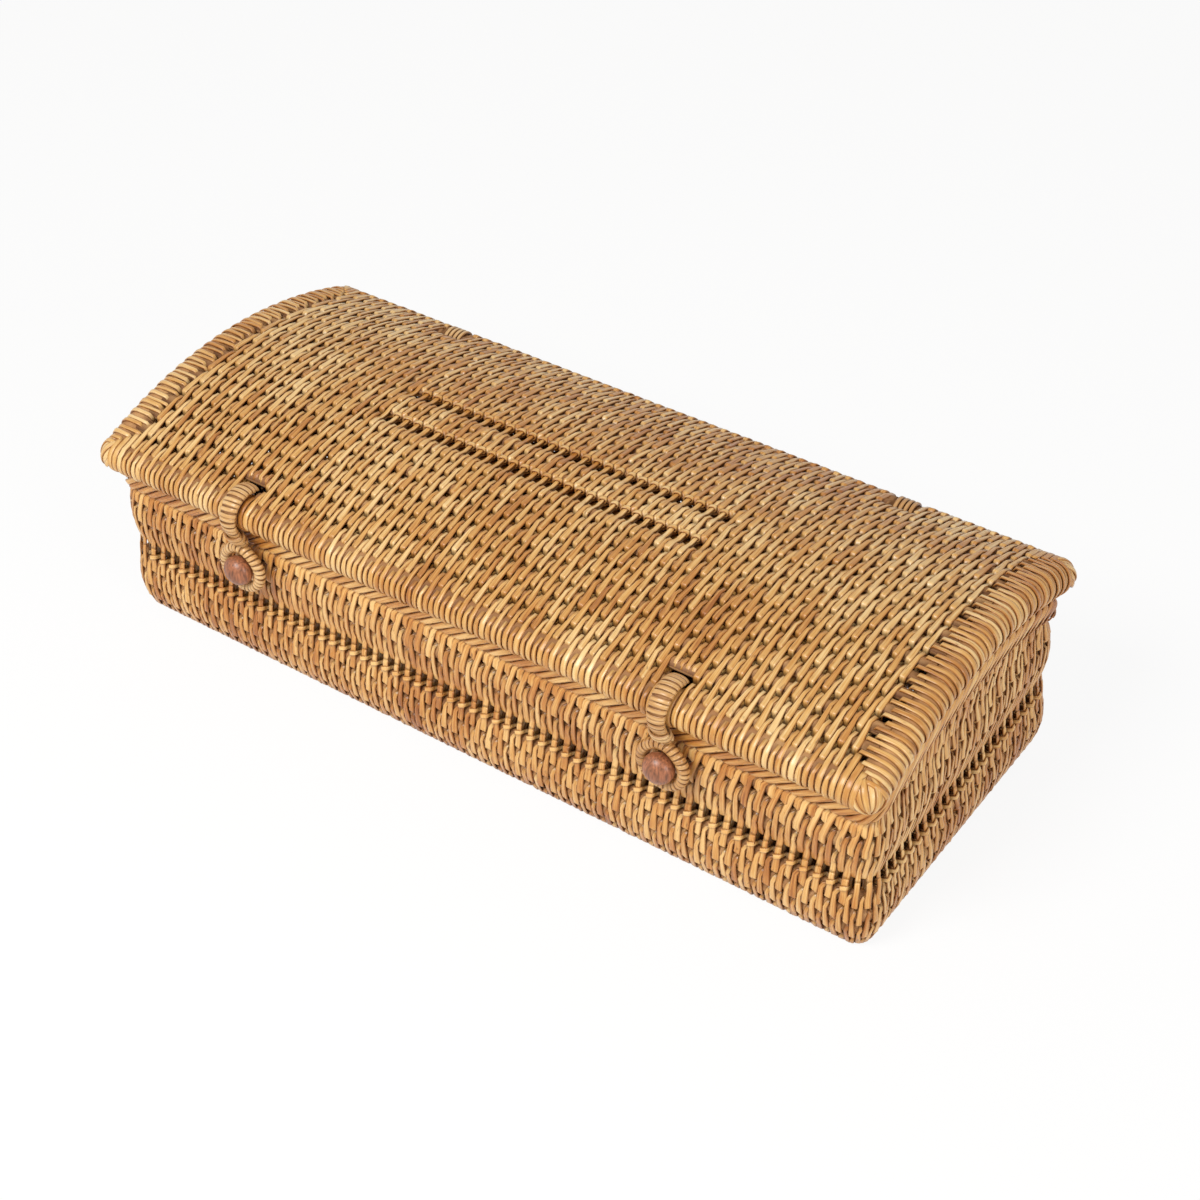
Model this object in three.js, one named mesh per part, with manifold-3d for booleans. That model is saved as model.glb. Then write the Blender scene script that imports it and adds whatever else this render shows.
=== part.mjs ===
// A hinged rattan tea box with a barrel lid, in millimetres, +Z up, its front towards -Y.
// Rattan rods are bound into ribbed sheets by cane: each sheet is a row of rods joined by a thin web.
// The lid turns on its round back roll inside two cane lashings, and two ringed loops hook over knobs.

import * as THREE from 'three';
import { mergeGeometries, mergeVertices } from 'three/addons/utils/BufferGeometryUtils.js';
import Module from 'manifold-3d';

const wasm = await Module();
wasm.setup();

// Overall sizes: the lid's edge stands out past the base at the ends and along the front and back
const baseLength = 376;
const baseDepth = 149;
const baseCornerRadius = 11;
const lidEndOverhang = 2;
const lidSideOverhang = 6.5;
const archRise = 14.6;

// Rattan and cane stock
const rodDiameter = 4;
const caneThickness = 0.7;
const webThickness = 1.2;
const rollDiameter = 15.2;

// Clearances
const seatGap = 0.3;
const runningGap = 0.4;

// Wall rods: a lower band, an open row at the waist, and an upper band
const lowerRodCount = 4;
const lowerRodPitch = 7.8;
const openRowSpan = 17.4;
const upperRodCount = 3;
const upperRodPitch = 9.5;
const archRodCount = 2;
const footInset = 4;
const footFlat = 0.4;
const waistInset = 3.2;
const shoulderInset = 1;
const shoulderTurn = 0.88 * Math.PI;

// Open row in the walls
const wallWindowPitch = 5.7;
const wallWindowWidth = 2.8;
const wallWindowHeight = 4.6;

// Plaited rim on the walls
const rimWidth = 7.2;
const rimHeight = 10;
const rimInset = 1;

// Floor and dividers
const floorRodPitch = 7.8;
const compartmentCount = 5;
const dividerRodDiameter = 3;
const dividerRodPitch = 7.4;
const dividerRodCount = 7;

// Lid panel rods and the two open rows either side of its middle band
const lidRodPitch = 7.75;
const lidEdgeRodInset = 3.5;
const lidOpenSpan = 11.8;
const lidWindowPitch = 5.5;
const lidWindowWidth = 3.3;
const lidWindowDepth = 5;
const lidWindowStart = -84;
const lidWindowEnd = 70;

// Closures: where they sit, the wrapped strap, its binding, the ring and the knob
const closurePlaces = { left: -110, right: 100 };
const strapWidth = 8.6;
const strapThickness = 4;
const strapTailAngle = THREE.MathUtils.degToRad(60);
const strapLeaveAngle = THREE.MathUtils.degToRad(205);
const neckWidth = 6.4;
const bindingTurns = 2;
const ringRadius = 9.4;
const ringCord = 4.8;
const ringPoint = 14;
const knobDiameter = 13.2;
const knobDome = 5.2;
const knobStandOff = 2.8;
const knobUndercut = THREE.MathUtils.degToRad(40);
const knobShankDiameter = 3.6;
const tieLength = 12;
const tieWidth = 2.4;
const tieThickness = 1.1;

// Lashings that hinge the lid
const lashingPlace = 115;
const lashingTurns = 4;
const caneWidth = 1.8;
const caneGap = 0.5;
const lashingThickness = 1.2;

// How finely the round forms are drawn
const ribSteps = 3;
const rollSides = 16;
const cornerSteps = 4;
const archSteps = 14;

// Sizes worked out from those above
const rodHalf = rodDiameter / 2 + caneThickness;
const rollRadius = rollDiameter / 2;
const lashingRollRadius = rollRadius - runningGap - lashingThickness;
const lashingBand = lashingTurns * (caneWidth + caneGap) + caneWidth + 2 * runningGap;
const lidLength = baseLength + 2 * lidEndOverhang;
const lidDepth = baseDepth + 2 * lidSideOverhang;
const archHalf = lidDepth / 2 - rollRadius;
const lowestRod = rodHalf - footFlat;
const lowerTop = lowestRod + (lowerRodCount - 1) * lowerRodPitch;
const waistHeight = lowerTop + openRowSpan / 2;
const upperTop = lowerTop + openRowSpan + (upperRodCount - 1) * upperRodPitch;
const wallHeight = upperTop + rodHalf;
const rimBottom = wallHeight + seatGap;
const rimTop = rimBottom + rimHeight;
const rollHeight = rimTop + seatGap + rollRadius;
const rollEnd = lidLength / 2 - rollRadius;
const strapMiddle = rollRadius + runningGap + strapThickness / 2;
const strapLeave = [
  -archHalf + strapMiddle * Math.cos(strapLeaveAngle),
  rollHeight + strapMiddle * Math.sin(strapLeaveAngle),
];
const knobHeight = upperTop - upperRodPitch / 2;
const ringApex = knobHeight + (ringRadius ** 2 / ringPoint + ringPoint) / 2;
const strapEnd = ringApex + ringCord / 2 + seatGap - strapThickness / 2 * Math.sin(strapLeaveAngle);
const strapDrop = (strapEnd - strapLeave[1]) / Math.cos(strapLeaveAngle);

// Rise of the barrel arch above the corners at a distance y from the middle line
function arch(y) {
  return archRise * Math.max(0, 1 - (y / archHalf) ** 2);
}

// How far a wall's outer face stands in from the widest part of the base at a height
function wallInset(height) {
  if (height < waistHeight) {
    return footInset * (1 - Math.sin(Math.PI * height / waistHeight));
  }
  const share = (height - waistHeight) / (wallHeight - waistHeight);
  return shoulderInset + waistInset * (1 - Math.sin(shoulderTurn * Math.min(share, 1)));
}

// Heights of the rods of a wall, from the floor up
function wallRodHeights(extraRods) {
  const heights = [];
  for (let i = 0; i < lowerRodCount; i++) {
    heights.push(lowestRod + i * lowerRodPitch);
  }
  for (let i = 0; i < upperRodCount; i++) {
    heights.push(lowerTop + openRowSpan + i * upperRodPitch);
  }
  for (let i = 1; i <= extraRods; i++) {
    heights.push(upperTop + i * archRise / archRodCount);
  }
  return heights;
}

// Rod centres of a wall as distance inward from its widest face, and height
function wallChain(extraRods = 0) {
  return wallRodHeights(extraRods).map((height) => [wallInset(height) + rodHalf, height]);
}

// Points along an arc, both ends included
function arcPoints([u, v], radius, from, to, steps) {
  const points = [];
  for (let i = 0; i <= steps; i++) {
    const angle = from + (to - from) * i / steps;
    points.push([u + radius * Math.cos(angle), v + radius * Math.sin(angle)]);
  }
  return points;
}

// Outline of a row of rods joined by a web, as one closed chain of points
function ribbedOutline(centres, radius) {
  const spread = Math.asin(webThickness / 2 / radius);
  const last = centres.length - 1;
  const heading = (i) => Math.atan2(centres[i + 1][1] - centres[i][1], centres[i + 1][0] - centres[i][0]);
  const outline = [];
  for (let i = 0; i <= last; i++) {
    const from = i === 0 ? heading(0) - Math.PI : heading(i - 1) - Math.PI + spread;
    const to = i === last ? heading(last - 1) : heading(i) - spread;
    outline.push(...arcPoints(centres[i], radius, from, to, ribSteps));
  }
  for (let i = last; i >= 0; i--) {
    const from = i === last ? heading(last - 1) : heading(i) + spread;
    const to = i === 0 ? heading(0) + Math.PI : heading(i - 1) + Math.PI - spread;
    outline.push(...arcPoints(centres[i], radius, from, to, ribSteps));
  }
  return withoutRepeats(outline);
}

// Drops a point that lies on the one before it, and the last if it lies on the first
function withoutRepeats(outline) {
  const nearest = 1e-3;
  return outline.filter(([u, v], i) => {
    const [pu, pv] = outline[(i + outline.length - 1) % outline.length];
    return Math.hypot(u - pu, v - pv) > nearest;
  });
}

function shapeOf(outline) {
  return new THREE.Shape(outline.map(([u, v]) => new THREE.Vector2(u, v)));
}

// Rectangle with round corners, centred on the origin
function roundedRectangle(halfLength, halfDepth, radius, steps = cornerSteps) {
  const u = halfLength - radius;
  const v = halfDepth - radius;
  const quarter = Math.PI / 2;
  const corners = [[u, v], [-u, v], [-u, -v], [u, -v]];
  return corners.flatMap((centre, i) => arcPoints(centre, radius, i * quarter, (i + 1) * quarter, steps));
}

// Extrusions of an outline, centred along the axis: the outline lies in the plane across that axis
function extrude(outline, length, [right, up, along]) {
  const geometry = new THREE.ExtrudeGeometry(shapeOf(outline), { depth: length, bevelEnabled: false });
  geometry.translate(0, 0, -length / 2);
  return geometry.applyMatrix4(new THREE.Matrix4().makeBasis(right, up, along));
}

const axisX = new THREE.Vector3(1, 0, 0);
const axisY = new THREE.Vector3(0, 1, 0);
const axisZ = new THREE.Vector3(0, 0, 1);

function extrudeAlongX(outline, length) {
  return extrude(outline, length, [axisY, axisZ, axisX]);
}

function extrudeAlongY(outline, length) {
  return extrude(outline, length, [axisX, axisZ, axisY.clone().negate()]);
}

function extrudeAlongZ(outline, length) {
  return extrude(outline, length, [axisX, axisY, axisZ]);
}

function box(low, high) {
  const size = high.map((value, i) => value - low[i]);
  const geometry = new THREE.BoxGeometry(...size);
  return geometry.translate(...low.map((value, i) => value + size[i] / 2));
}

// Cylinder along X or Y through a centre
function cylinderAlong(axis, centre, radius, length, sides) {
  const geometry = new THREE.CylinderGeometry(radius, radius, length, sides);
  if (axis === 'x') {
    geometry.rotateZ(Math.PI / 2);
  }
  return geometry.translate(...centre);
}

// Joins rings of points into one skin, closed on itself or capped at its two ends
function skinRings(rings, closed) {
  const sides = rings[0].length;
  const positions = rings.flatMap((ring) => ring.flatMap((point) => point.toArray()));
  const index = [];
  const bands = closed ? rings.length : rings.length - 1;
  for (let i = 0; i < bands; i++) {
    const next = (i + 1) % rings.length;
    for (let j = 0; j < sides; j++) {
      const a = i * sides + j;
      const b = i * sides + (j + 1) % sides;
      const c = next * sides + (j + 1) % sides;
      const d = next * sides + j;
      index.push(a, b, c, a, c, d);
    }
  }
  if (!closed) {
    const start = (rings.length - 1) * sides;
    for (let j = 1; j < sides - 1; j++) {
      index.push(0, j + 1, j, start, start + j, start + j + 1);
    }
  }
  const geometry = new THREE.BufferGeometry();
  geometry.setAttribute('position', new THREE.Float32BufferAttribute(positions, 3));
  geometry.setIndex(index);
  return geometry;
}

// Oval ring of points round a path point, wide along one axis and thick along the other
function ovalRing(centre, wideAxis, thickAxis, halfWidth, halfThickness, sides) {
  const ring = [];
  for (let j = 0; j < sides; j++) {
    const angle = 2 * Math.PI * (j + 0.5) / sides;
    const point = centre.clone();
    point.addScaledVector(wideAxis, halfWidth * Math.cos(angle));
    point.addScaledVector(thickAxis, halfThickness * Math.sin(angle));
    ring.push(point);
  }
  return ring;
}

// Sweeps an oval section along a path, flat side kept square to the given axis
function sweepOval(path, wide, halfWidthAt, halfThickness, sides, closed = false) {
  const rings = path.map((point, i) => {
    const before = path[closed ? (i + path.length - 1) % path.length : Math.max(i - 1, 0)];
    const after = path[closed ? (i + 1) % path.length : Math.min(i + 1, path.length - 1)];
    const tangent = after.clone().sub(before).normalize();
    const wideAxis = wide.clone().addScaledVector(tangent, -wide.dot(tangent)).normalize();
    const thickAxis = tangent.clone().cross(wideAxis);
    return ovalRing(point, wideAxis, thickAxis, halfWidthAt(i), halfThickness, sides);
  });
  return skinRings(rings, closed);
}

function signedVolume(positions, index) {
  const [a, b, c] = [new THREE.Vector3(), new THREE.Vector3(), new THREE.Vector3()];
  let volume = 0;
  for (let i = 0; i < index.count; i += 3) {
    a.fromBufferAttribute(positions, index.getX(i));
    b.fromBufferAttribute(positions, index.getX(i + 1));
    c.fromBufferAttribute(positions, index.getX(i + 2));
    volume += a.dot(b.cross(c)) / 6;
  }
  return volume;
}

// Keeps only the positions, shares the vertices that meet and turns the faces outward
function closedGeometry(geometry) {
  const bare = new THREE.BufferGeometry();
  bare.setAttribute('position', geometry.getAttribute('position'));
  bare.setIndex(geometry.getIndex());
  const merged = mergeVertices(bare, 1e-4);
  const index = merged.getIndex();
  if (signedVolume(merged.getAttribute('position'), index) < 0) {
    for (let i = 0; i < index.count; i += 3) {
      const kept = index.getX(i + 1);
      index.setX(i + 1, index.getX(i + 2));
      index.setX(i + 2, kept);
    }
  }
  return merged;
}

function toSolid(geometry) {
  const closed = closedGeometry(geometry);
  const vertProperties = new Float32Array(closed.getAttribute('position').array);
  const triVerts = new Uint32Array(closed.getIndex().array);
  return new wasm.Manifold(new wasm.Mesh({ numProp: 3, vertProperties, triVerts }));
}

function toGeometry(solid) {
  const mesh = solid.getMesh();
  const geometry = new THREE.BufferGeometry();
  geometry.setAttribute('position', new THREE.Float32BufferAttribute(mesh.vertProperties, 3));
  geometry.setIndex(new THREE.Uint32BufferAttribute(mesh.triVerts, 1));
  return geometry;
}

// Cuts a list of separate tools out of a geometry
function cut(geometry, tools) {
  const solid = tools.reduce((left, tool) => left.subtract(toSolid(tool)), toSolid(geometry));
  return toGeometry(solid);
}

function keep(geometry, ...limits) {
  const solid = limits.reduce((left, limit) => left.intersect(toSolid(limit)), toSolid(geometry));
  return toGeometry(solid);
}

// Everything above the floor and under the arch raised by a height, as a limit for walls and rims
function underArch(height) {
  const half = 2 * lidDepth;
  const top = [];
  for (let i = 0; i <= archSteps; i++) {
    const y = archHalf * (1 - 2 * i / archSteps);
    top.push([y, height + arch(y)]);
  }
  const outline = [[-half, 0], [half, 0], [half, height], ...top, [-half, height]];
  return extrudeAlongX(outline, 2 * lidLength);
}

// Row of boxes along X between two ends
function windowRow(start, end, pitch, width, low, high) {
  const count = Math.floor((end - start) / pitch);
  const first = (start + end - (count - 1) * pitch) / 2;
  const windows = [];
  for (let i = 0; i < count; i++) {
    const x = first + i * pitch;
    windows.push(box([x - width / 2, low[0], low[1]], [x + width / 2, high[0], high[1]]));
  }
  return mergeGeometries(windows);
}

// Open row at the waist of a wall that runs along X, cut from its widest face inward
function waistWindows(length, outside, inward) {
  const reach = [outside, outside + inward].sort((a, b) => a - b);
  const low = [reach[0], waistHeight - wallWindowHeight / 2];
  const high = [reach[1], waistHeight + wallWindowHeight / 2];
  const half = length / 2 - wallWindowPitch / 2;
  return windowRow(-half, half, wallWindowPitch, wallWindowWidth, low, high);
}

const wallReach = footInset + waistInset + 2 * rodHalf;

function longWall(side) {
  const length = baseLength - 2 * baseCornerRadius - 2 * seatGap;
  const face = side * baseDepth / 2;
  const outline = ribbedOutline(wallChain().map(([inward, height]) => [face - side * inward, height]), rodHalf);
  const geometry = keep(extrudeAlongX(outline, length), underArch(wallHeight));
  return { geometry, windows: waistWindows(length, face, -side * wallReach) };
}

function frontWall() {
  const { geometry, windows } = longWall(-1);
  const radius = knobShankDiameter / 2 + seatGap;
  const holes = Object.values(closurePlaces).map((x) => (
    cylinderAlong('y', [x, -baseDepth / 2 + wallReach / 2, knobHeight], radius, 2 * wallReach, 12)
  ));
  return cut(geometry, [windows, ...holes]);
}

// The back wall's top rod is notched where the lashings pass under the rim
function backWall() {
  const { geometry, windows } = longWall(1);
  const half = lashingBand / 2;
  const floor = rimBottom - seatGap - lashingThickness - seatGap;
  const notches = [-lashingPlace, lashingPlace].map((x) => (
    box([x - half, baseDepth / 2 - wallReach, floor], [x + half, baseDepth / 2, rimTop])
  ));
  return cut(geometry, [windows, ...notches]);
}

// An end wall carries more rods in its middle, under the arch
function endWall(side) {
  const length = baseDepth - 2 * baseCornerRadius - 2 * seatGap;
  const centres = wallChain(archRodCount).map(([inward, height]) => [side * (baseLength / 2 - inward), height]);
  const outline = ribbedOutline(centres, rodHalf);
  const windows = waistWindows(length, -baseLength / 2, wallReach).rotateZ(side * Math.PI / 2);
  return cut(keep(extrudeAlongY(outline, length), underArch(wallHeight)), [windows]);
}

// A corner bends every rod of the wall through a quarter turn
function wallCorner(sideX, sideY) {
  const outline = ribbedOutline(wallChain(1).map(([inward, height]) => [baseCornerRadius - inward, height]), rodHalf);
  const profile = [...outline, outline[0]].map(([radius, height]) => new THREE.Vector2(radius, height));
  const ring = new THREE.LatheGeometry(profile, 4 * cornerSteps);
  ring.rotateX(Math.PI / 2);
  const reach = baseCornerRadius + 1;
  const top = 2 * wallHeight;
  const low = [sideX > 0 ? 0 : -reach, sideY > 0 ? 0 : -reach, -1];
  const high = [sideX > 0 ? reach : 0, sideY > 0 ? reach : 0, top];
  const quarter = keep(ring, box(low, high));
  const x = sideX * (baseLength / 2 - baseCornerRadius);
  const y = sideY * (baseDepth / 2 - baseCornerRadius);
  return keep(quarter.translate(x, y, 0), underArch(wallHeight));
}

// Straight rim along the front or back wall
function longRim(side) {
  const half = baseLength / 2 - baseCornerRadius - seatGap / 2;
  const outer = side * (baseDepth / 2 - rimInset);
  const [near, far] = [outer, outer - side * rimWidth].sort((a, b) => a - b);
  return box([-half, near, rimBottom], [half, far, rimTop]);
}

// Rim round an end and its two corners: it follows the arch and is coped under the lid's rolls
function endRim(side) {
  const outer = [baseLength / 2 - rimInset, baseDepth / 2 - rimInset, baseCornerRadius - rimInset];
  const inner = outer.map((value) => value - rimWidth);
  const tall = 4 * rimTop;
  const ring = cut(extrudeAlongZ(roundedRectangle(...outer), tall), [extrudeAlongZ(roundedRectangle(...inner), tall)]);
  const start = baseLength / 2 - baseCornerRadius + seatGap / 2;
  const far = 2 * baseLength;
  const reach = side > 0 ? [start, far] : [-far, -start];
  const half = keep(ring, underArch(rimTop), box([reach[0], -far, 0], [reach[1], far, far]));
  const rolls = [longRoll(-1, seatGap), longRoll(1, seatGap), archedRoll(side, seatGap)];
  return cut(half, [underArch(rimBottom), ...rolls]);
}

// Ribbed floor panel between the lowest rods of the walls
function baseFloor() {
  const inward = wallInset(lowestRod) + 2 * rodHalf + seatGap;
  const halfLength = baseLength / 2 - inward;
  const halfDepth = baseDepth / 2 - inward;
  const span = 2 * (halfDepth - rodHalf);
  const count = Math.round(span / floorRodPitch);
  const centres = [];
  for (let i = 0; i <= count; i++) {
    centres.push([-span / 2 + span * i / count, lowestRod]);
  }
  const panel = extrudeAlongX(ribbedOutline(centres, rodHalf), 2 * halfLength);
  const plan = roundedRectangle(halfLength, halfDepth, Math.max(baseCornerRadius - inward, webThickness));
  return keep(panel, extrudeAlongZ(plan, 2 * wallHeight), underArch(wallHeight));
}

// Least clear distance from the middle to the inner faces of the walls up to a height
function clearHalf(overall) {
  const innermost = Math.max(...wallChain().map(([inward]) => inward + rodHalf));
  return overall / 2 - innermost;
}

function divider(place) {
  const radius = dividerRodDiameter / 2 + caneThickness;
  const first = lowestRod + rodHalf + seatGap + radius;
  const centres = [];
  for (let i = 0; i < dividerRodCount; i++) {
    centres.push([0, first + i * dividerRodPitch]);
  }
  const length = 2 * (clearHalf(baseDepth) - seatGap);
  return extrudeAlongY(ribbedOutline(centres, radius), length).translate(place, 0, 0);
}

function dividerPlaces() {
  const cell = 2 * clearHalf(baseLength) / compartmentCount;
  const places = [];
  for (let i = 1; i < compartmentCount; i++) {
    places.push((i - compartmentCount / 2) * cell);
  }
  return places;
}

// Straight roll with round ends along the front or back of the lid, swollen by a margin
function longRoll(side, margin = 0) {
  const radius = rollRadius + margin;
  const quarter = Math.PI / 2;
  const profile = [
    ...arcPoints([0, -rollEnd], radius, -quarter, 0, 4),
    ...arcPoints([0, rollEnd], radius, 0, quarter, 4),
  ].map(([u, v]) => new THREE.Vector2(Math.max(u, 0), v));
  const roll = new THREE.LatheGeometry(profile, rollSides);
  return roll.rotateZ(quarter).translate(0, side * archHalf, rollHeight);
}

// Back roll, thinner where the lashings go round it so that they lie level with the rest
function backRoll() {
  const collars = [-lashingPlace, lashingPlace].map((x) => {
    const centre = [x, archHalf, rollHeight];
    const core = cylinderAlong('x', centre, lashingRollRadius, 2 * lashingBand, rollSides);
    return cut(cylinderAlong('x', centre, 2 * rollRadius, lashingBand, rollSides), [core]);
  });
  return cut(longRoll(1), collars);
}

// Line of the arch at an end of the lid
class ArchLine extends THREE.Curve {
  constructor(x) {
    super();
    this.x = x;
  }

  getPoint(t, target = new THREE.Vector3()) {
    const y = archHalf * (2 * t - 1);
    return target.set(this.x, y, rollHeight + arch(y));
  }
}

// Arched roll along an end of the lid, swollen by a margin
function archedRoll(side, margin = 0) {
  const section = arcPoints([0, 0], rollRadius + margin, 0, 2 * Math.PI, rollSides).slice(0, -1);
  const settings = { steps: archSteps, bevelEnabled: false, extrudePath: new ArchLine(side * rollEnd) };
  return new THREE.ExtrudeGeometry(shapeOf(section), settings);
}

function endRoll(side) {
  return cut(archedRoll(side), [longRoll(-1, seatGap), longRoll(1, seatGap)]);
}

// Rod places across one half of the lid, from the middle outward
function lidRodPlaces() {
  const first = lidRodPitch / 2 + lidOpenSpan;
  const span = archHalf - lidEdgeRodInset - first;
  const count = Math.round(span / lidRodPitch);
  const places = [lidRodPitch / 2];
  for (let i = 0; i <= count; i++) {
    places.push(first + span * i / count);
  }
  return places;
}

function lidWindows(side) {
  const middle = side * (lidRodPitch / 2 + lidOpenSpan / 2);
  const low = [middle - lidWindowDepth / 2, rimTop];
  const high = [middle + lidWindowDepth / 2, 2 * rimTop];
  return windowRow(lidWindowStart, lidWindowEnd, lidWindowPitch, lidWindowWidth, low, high);
}

// Ribbed barrel sheet of the lid, coped round the four rolls and slotted for straps and lashings.
// Cane crosses over every other stretch of a rod, so its ribs take half the cane's thickness.
function lidPanel() {
  const half = lidRodPlaces();
  const places = [...half.map((y) => -y).reverse(), ...half];
  const centres = places.map((y) => [y, rollHeight + rollRadius - rodHalf + arch(y)]);
  const sheet = extrudeAlongX(ribbedOutline(centres, rodHalf - caneThickness / 2), 2 * rollEnd);
  const strapReach = rollRadius + runningGap + strapThickness + 2 * seatGap;
  const strapSlots = Object.values(closurePlaces).map((x) => (
    cylinderAlong('x', [x, -archHalf, rollHeight], strapReach, strapWidth + 2 * runningGap, rollSides)
  ));
  const lashingSlots = [-lashingPlace, lashingPlace].map((x) => (
    cylinderAlong('x', [x, archHalf, rollHeight], rollRadius + 2 * seatGap, lashingBand, rollSides)
  ));
  const rolls = [longRoll(-1, seatGap), longRoll(1, seatGap), archedRoll(-1, seatGap), archedRoll(1, seatGap)];
  return cut(sheet, [...rolls, lidWindows(-1), lidWindows(1), ...strapSlots, ...lashingSlots]);
}

// One turn of a lashing: over the back roll and down round the rim, as points across X
function lashingTurn() {
  const offset = seatGap + lashingThickness / 2;
  const over = rollRadius - lashingThickness / 2;
  const outer = baseDepth / 2 - rimInset + offset;
  const inner = outer - rimWidth - 2 * offset;
  const bottom = rimBottom - offset;
  const bend = lashingThickness;
  const tilt = THREE.MathUtils.degToRad(12);
  return [
    [(inner + outer) / 2, bottom],
    ...arcPoints([outer - bend, bottom + bend], bend, -Math.PI / 2, 0, 2),
    ...arcPoints([archHalf, rollHeight], over, -tilt, Math.PI + tilt, 16),
    [inner, rimTop + offset],
    ...arcPoints([inner + bend, bottom + bend], bend, Math.PI, 1.5 * Math.PI, 2),
  ];
}

// Least gap between one turn and the next of a wound band
function leastGap(path, perTurn, width) {
  let least = Infinity;
  for (let i = 0; i < path.length; i++) {
    for (let j = i + Math.ceil(perTurn / 2); j < path.length; j++) {
      least = Math.min(least, path[i].distanceTo(path[j]) - width);
    }
  }
  return least;
}

function lashing(place) {
  const turn = lashingTurn();
  const path = [];
  for (let i = 0; i <= lashingTurns * turn.length; i++) {
    const [y, z] = turn[i % turn.length];
    const x = place + (caneWidth + caneGap) * (i / turn.length - lashingTurns / 2);
    path.push(new THREE.Vector3(x, y, z));
  }
  console.log(`lashing at ${place}: least gap ${leastGap(path, turn.length, caneWidth).toFixed(2)} mm`);
  return sweepOval(path, axisX, () => caneWidth / 2, lashingThickness / 2, 6);
}

// Where the strap's middle line is at a run below the place where it leaves the roll
function neckPoint(run) {
  const [y, z] = strapLeave;
  return [y - run * Math.sin(strapLeaveAngle), z + run * Math.cos(strapLeaveAngle)];
}

// Wrapped strap: over the front roll, tapering to a neck, then straight down
function strap(place) {
  const arcSteps = 10;
  const straightSteps = 4;
  const points = arcPoints([-archHalf, rollHeight], strapMiddle, strapTailAngle, strapLeaveAngle, arcSteps);
  for (let i = 1; i <= straightSteps; i++) {
    points.push(neckPoint(strapDrop * i / straightSteps));
  }
  const path = points.map(([y, z]) => new THREE.Vector3(place, y, z));
  const taperStart = arcSteps / 2;
  const halfWidthAt = (i) => {
    const share = THREE.MathUtils.clamp((i - taperStart) / (arcSteps - taperStart), 0, 1);
    return THREE.MathUtils.lerp(strapWidth, neckWidth, share) / 2;
  };
  return sweepOval(path, axisX, halfWidthAt, strapThickness / 2, 8);
}

// Cane bound round the neck in an open helix that ends level with the strap
function binding(place) {
  const perTurn = 24;
  const halfWide = (neckWidth + lashingThickness) / 2 + seatGap;
  const halfDeep = (strapThickness + lashingThickness) / 2 + seatGap;
  const start = strapDrop - bindingTurns * (caneWidth + caneGap) - caneWidth / 2;
  const across = new THREE.Vector3(0, Math.cos(strapLeaveAngle), Math.sin(strapLeaveAngle));
  const down = new THREE.Vector3(0, -Math.sin(strapLeaveAngle), Math.cos(strapLeaveAngle));
  const path = [];
  for (let i = 0; i <= bindingTurns * perTurn; i++) {
    const angle = 2 * Math.PI * i / perTurn;
    const [y, z] = neckPoint(start + (caneWidth + caneGap) * i / perTurn);
    const point = new THREE.Vector3(place + halfWide * Math.cos(angle), y, z);
    path.push(point.addScaledVector(across, halfDeep * Math.sin(angle)));
  }
  console.log(`binding at ${place}: least gap ${leastGap(path, perTurn, caneWidth).toFixed(2)} mm`);
  return sweepOval(path, down, () => caneWidth / 2, lashingThickness / 2, 6);
}

// Pointed ring that hangs from the neck and goes round the knob
function ring(place) {
  const lean = Math.asin(ringRadius / ringPoint);
  const y = neckPoint(strapDrop)[0];
  const arcSteps = 20;
  const arc = arcPoints([0, knobHeight], ringRadius, lean, -Math.PI - lean, arcSteps);
  const round = arc.map(([x, z]) => new THREE.Vector3(place + x, y, z));
  const tip = new THREE.Vector3(place, y, knobHeight + ringPoint);
  const point = new THREE.QuadraticBezierCurve3(round[arcSteps], tip, round[0]).getPoints(4).slice(1, -1);
  return sweepOval([...round, ...point], axisY, () => ringCord / 2, ringCord / 2, 8, true);
}

// Bun-shaped knob that stands out in front of its ring, with a shank that goes through the wall
function knob(place) {
  const radius = knobDiameter / 2;
  const shank = knobShankDiameter / 2;
  const web = baseDepth / 2 - wallInset(knobHeight) - rodHalf;
  const end = web - webThickness / 2 - seatGap;
  const widest = knobStandOff - neckPoint(strapDrop)[0];
  const dome = arcPoints([0, 0], 1, -knobUndercut, Math.PI / 2, 6);
  const bun = dome.map(([r, out]) => [radius * r, widest + knobDome * out]);
  const profile = [[0, end], [shank, end], [shank, bun[0][1]], ...bun];
  const points = profile.map(([r, out]) => new THREE.Vector2(Math.max(r, 0), out));
  points[points.length - 1].x = 0;
  return new THREE.LatheGeometry(points, 16).rotateZ(Math.PI).translate(place, 0, knobHeight);
}

// Cane tie that holds a knob's shank, lying between two rods inside the wall
function knobTie(place) {
  const half = tieLength / 2 - tieWidth / 2;
  const outline = [
    ...arcPoints([half, 0], tieWidth / 2, -Math.PI / 2, Math.PI / 2, 4),
    ...arcPoints([-half, 0], tieWidth / 2, Math.PI / 2, 1.5 * Math.PI, 4),
  ];
  const web = baseDepth / 2 - wallInset(knobHeight) - rodHalf;
  const y = -(web - webThickness / 2 - 2 * seatGap - tieThickness / 2);
  return extrudeAlongY(outline, tieThickness).translate(place, y, knobHeight);
}

// Finishes: colour, roughness and metalness of each material
const finishes = {
  wallCane: [0xc98f50, 0.55, 0],
  rimCane: [0xbb7c3c, 0.5, 0],
  lidCane: [0xdaa862, 0.5, 0],
  wrappedCane: [0xd2a468, 0.5, 0],
  knobWood: [0x96603f, 0.4, 0],
  innerCane: [0xc4915a, 0.65, 0],
};

const teaBox = new THREE.Group();
teaBox.name = 'rattan_tea_box';

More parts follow.
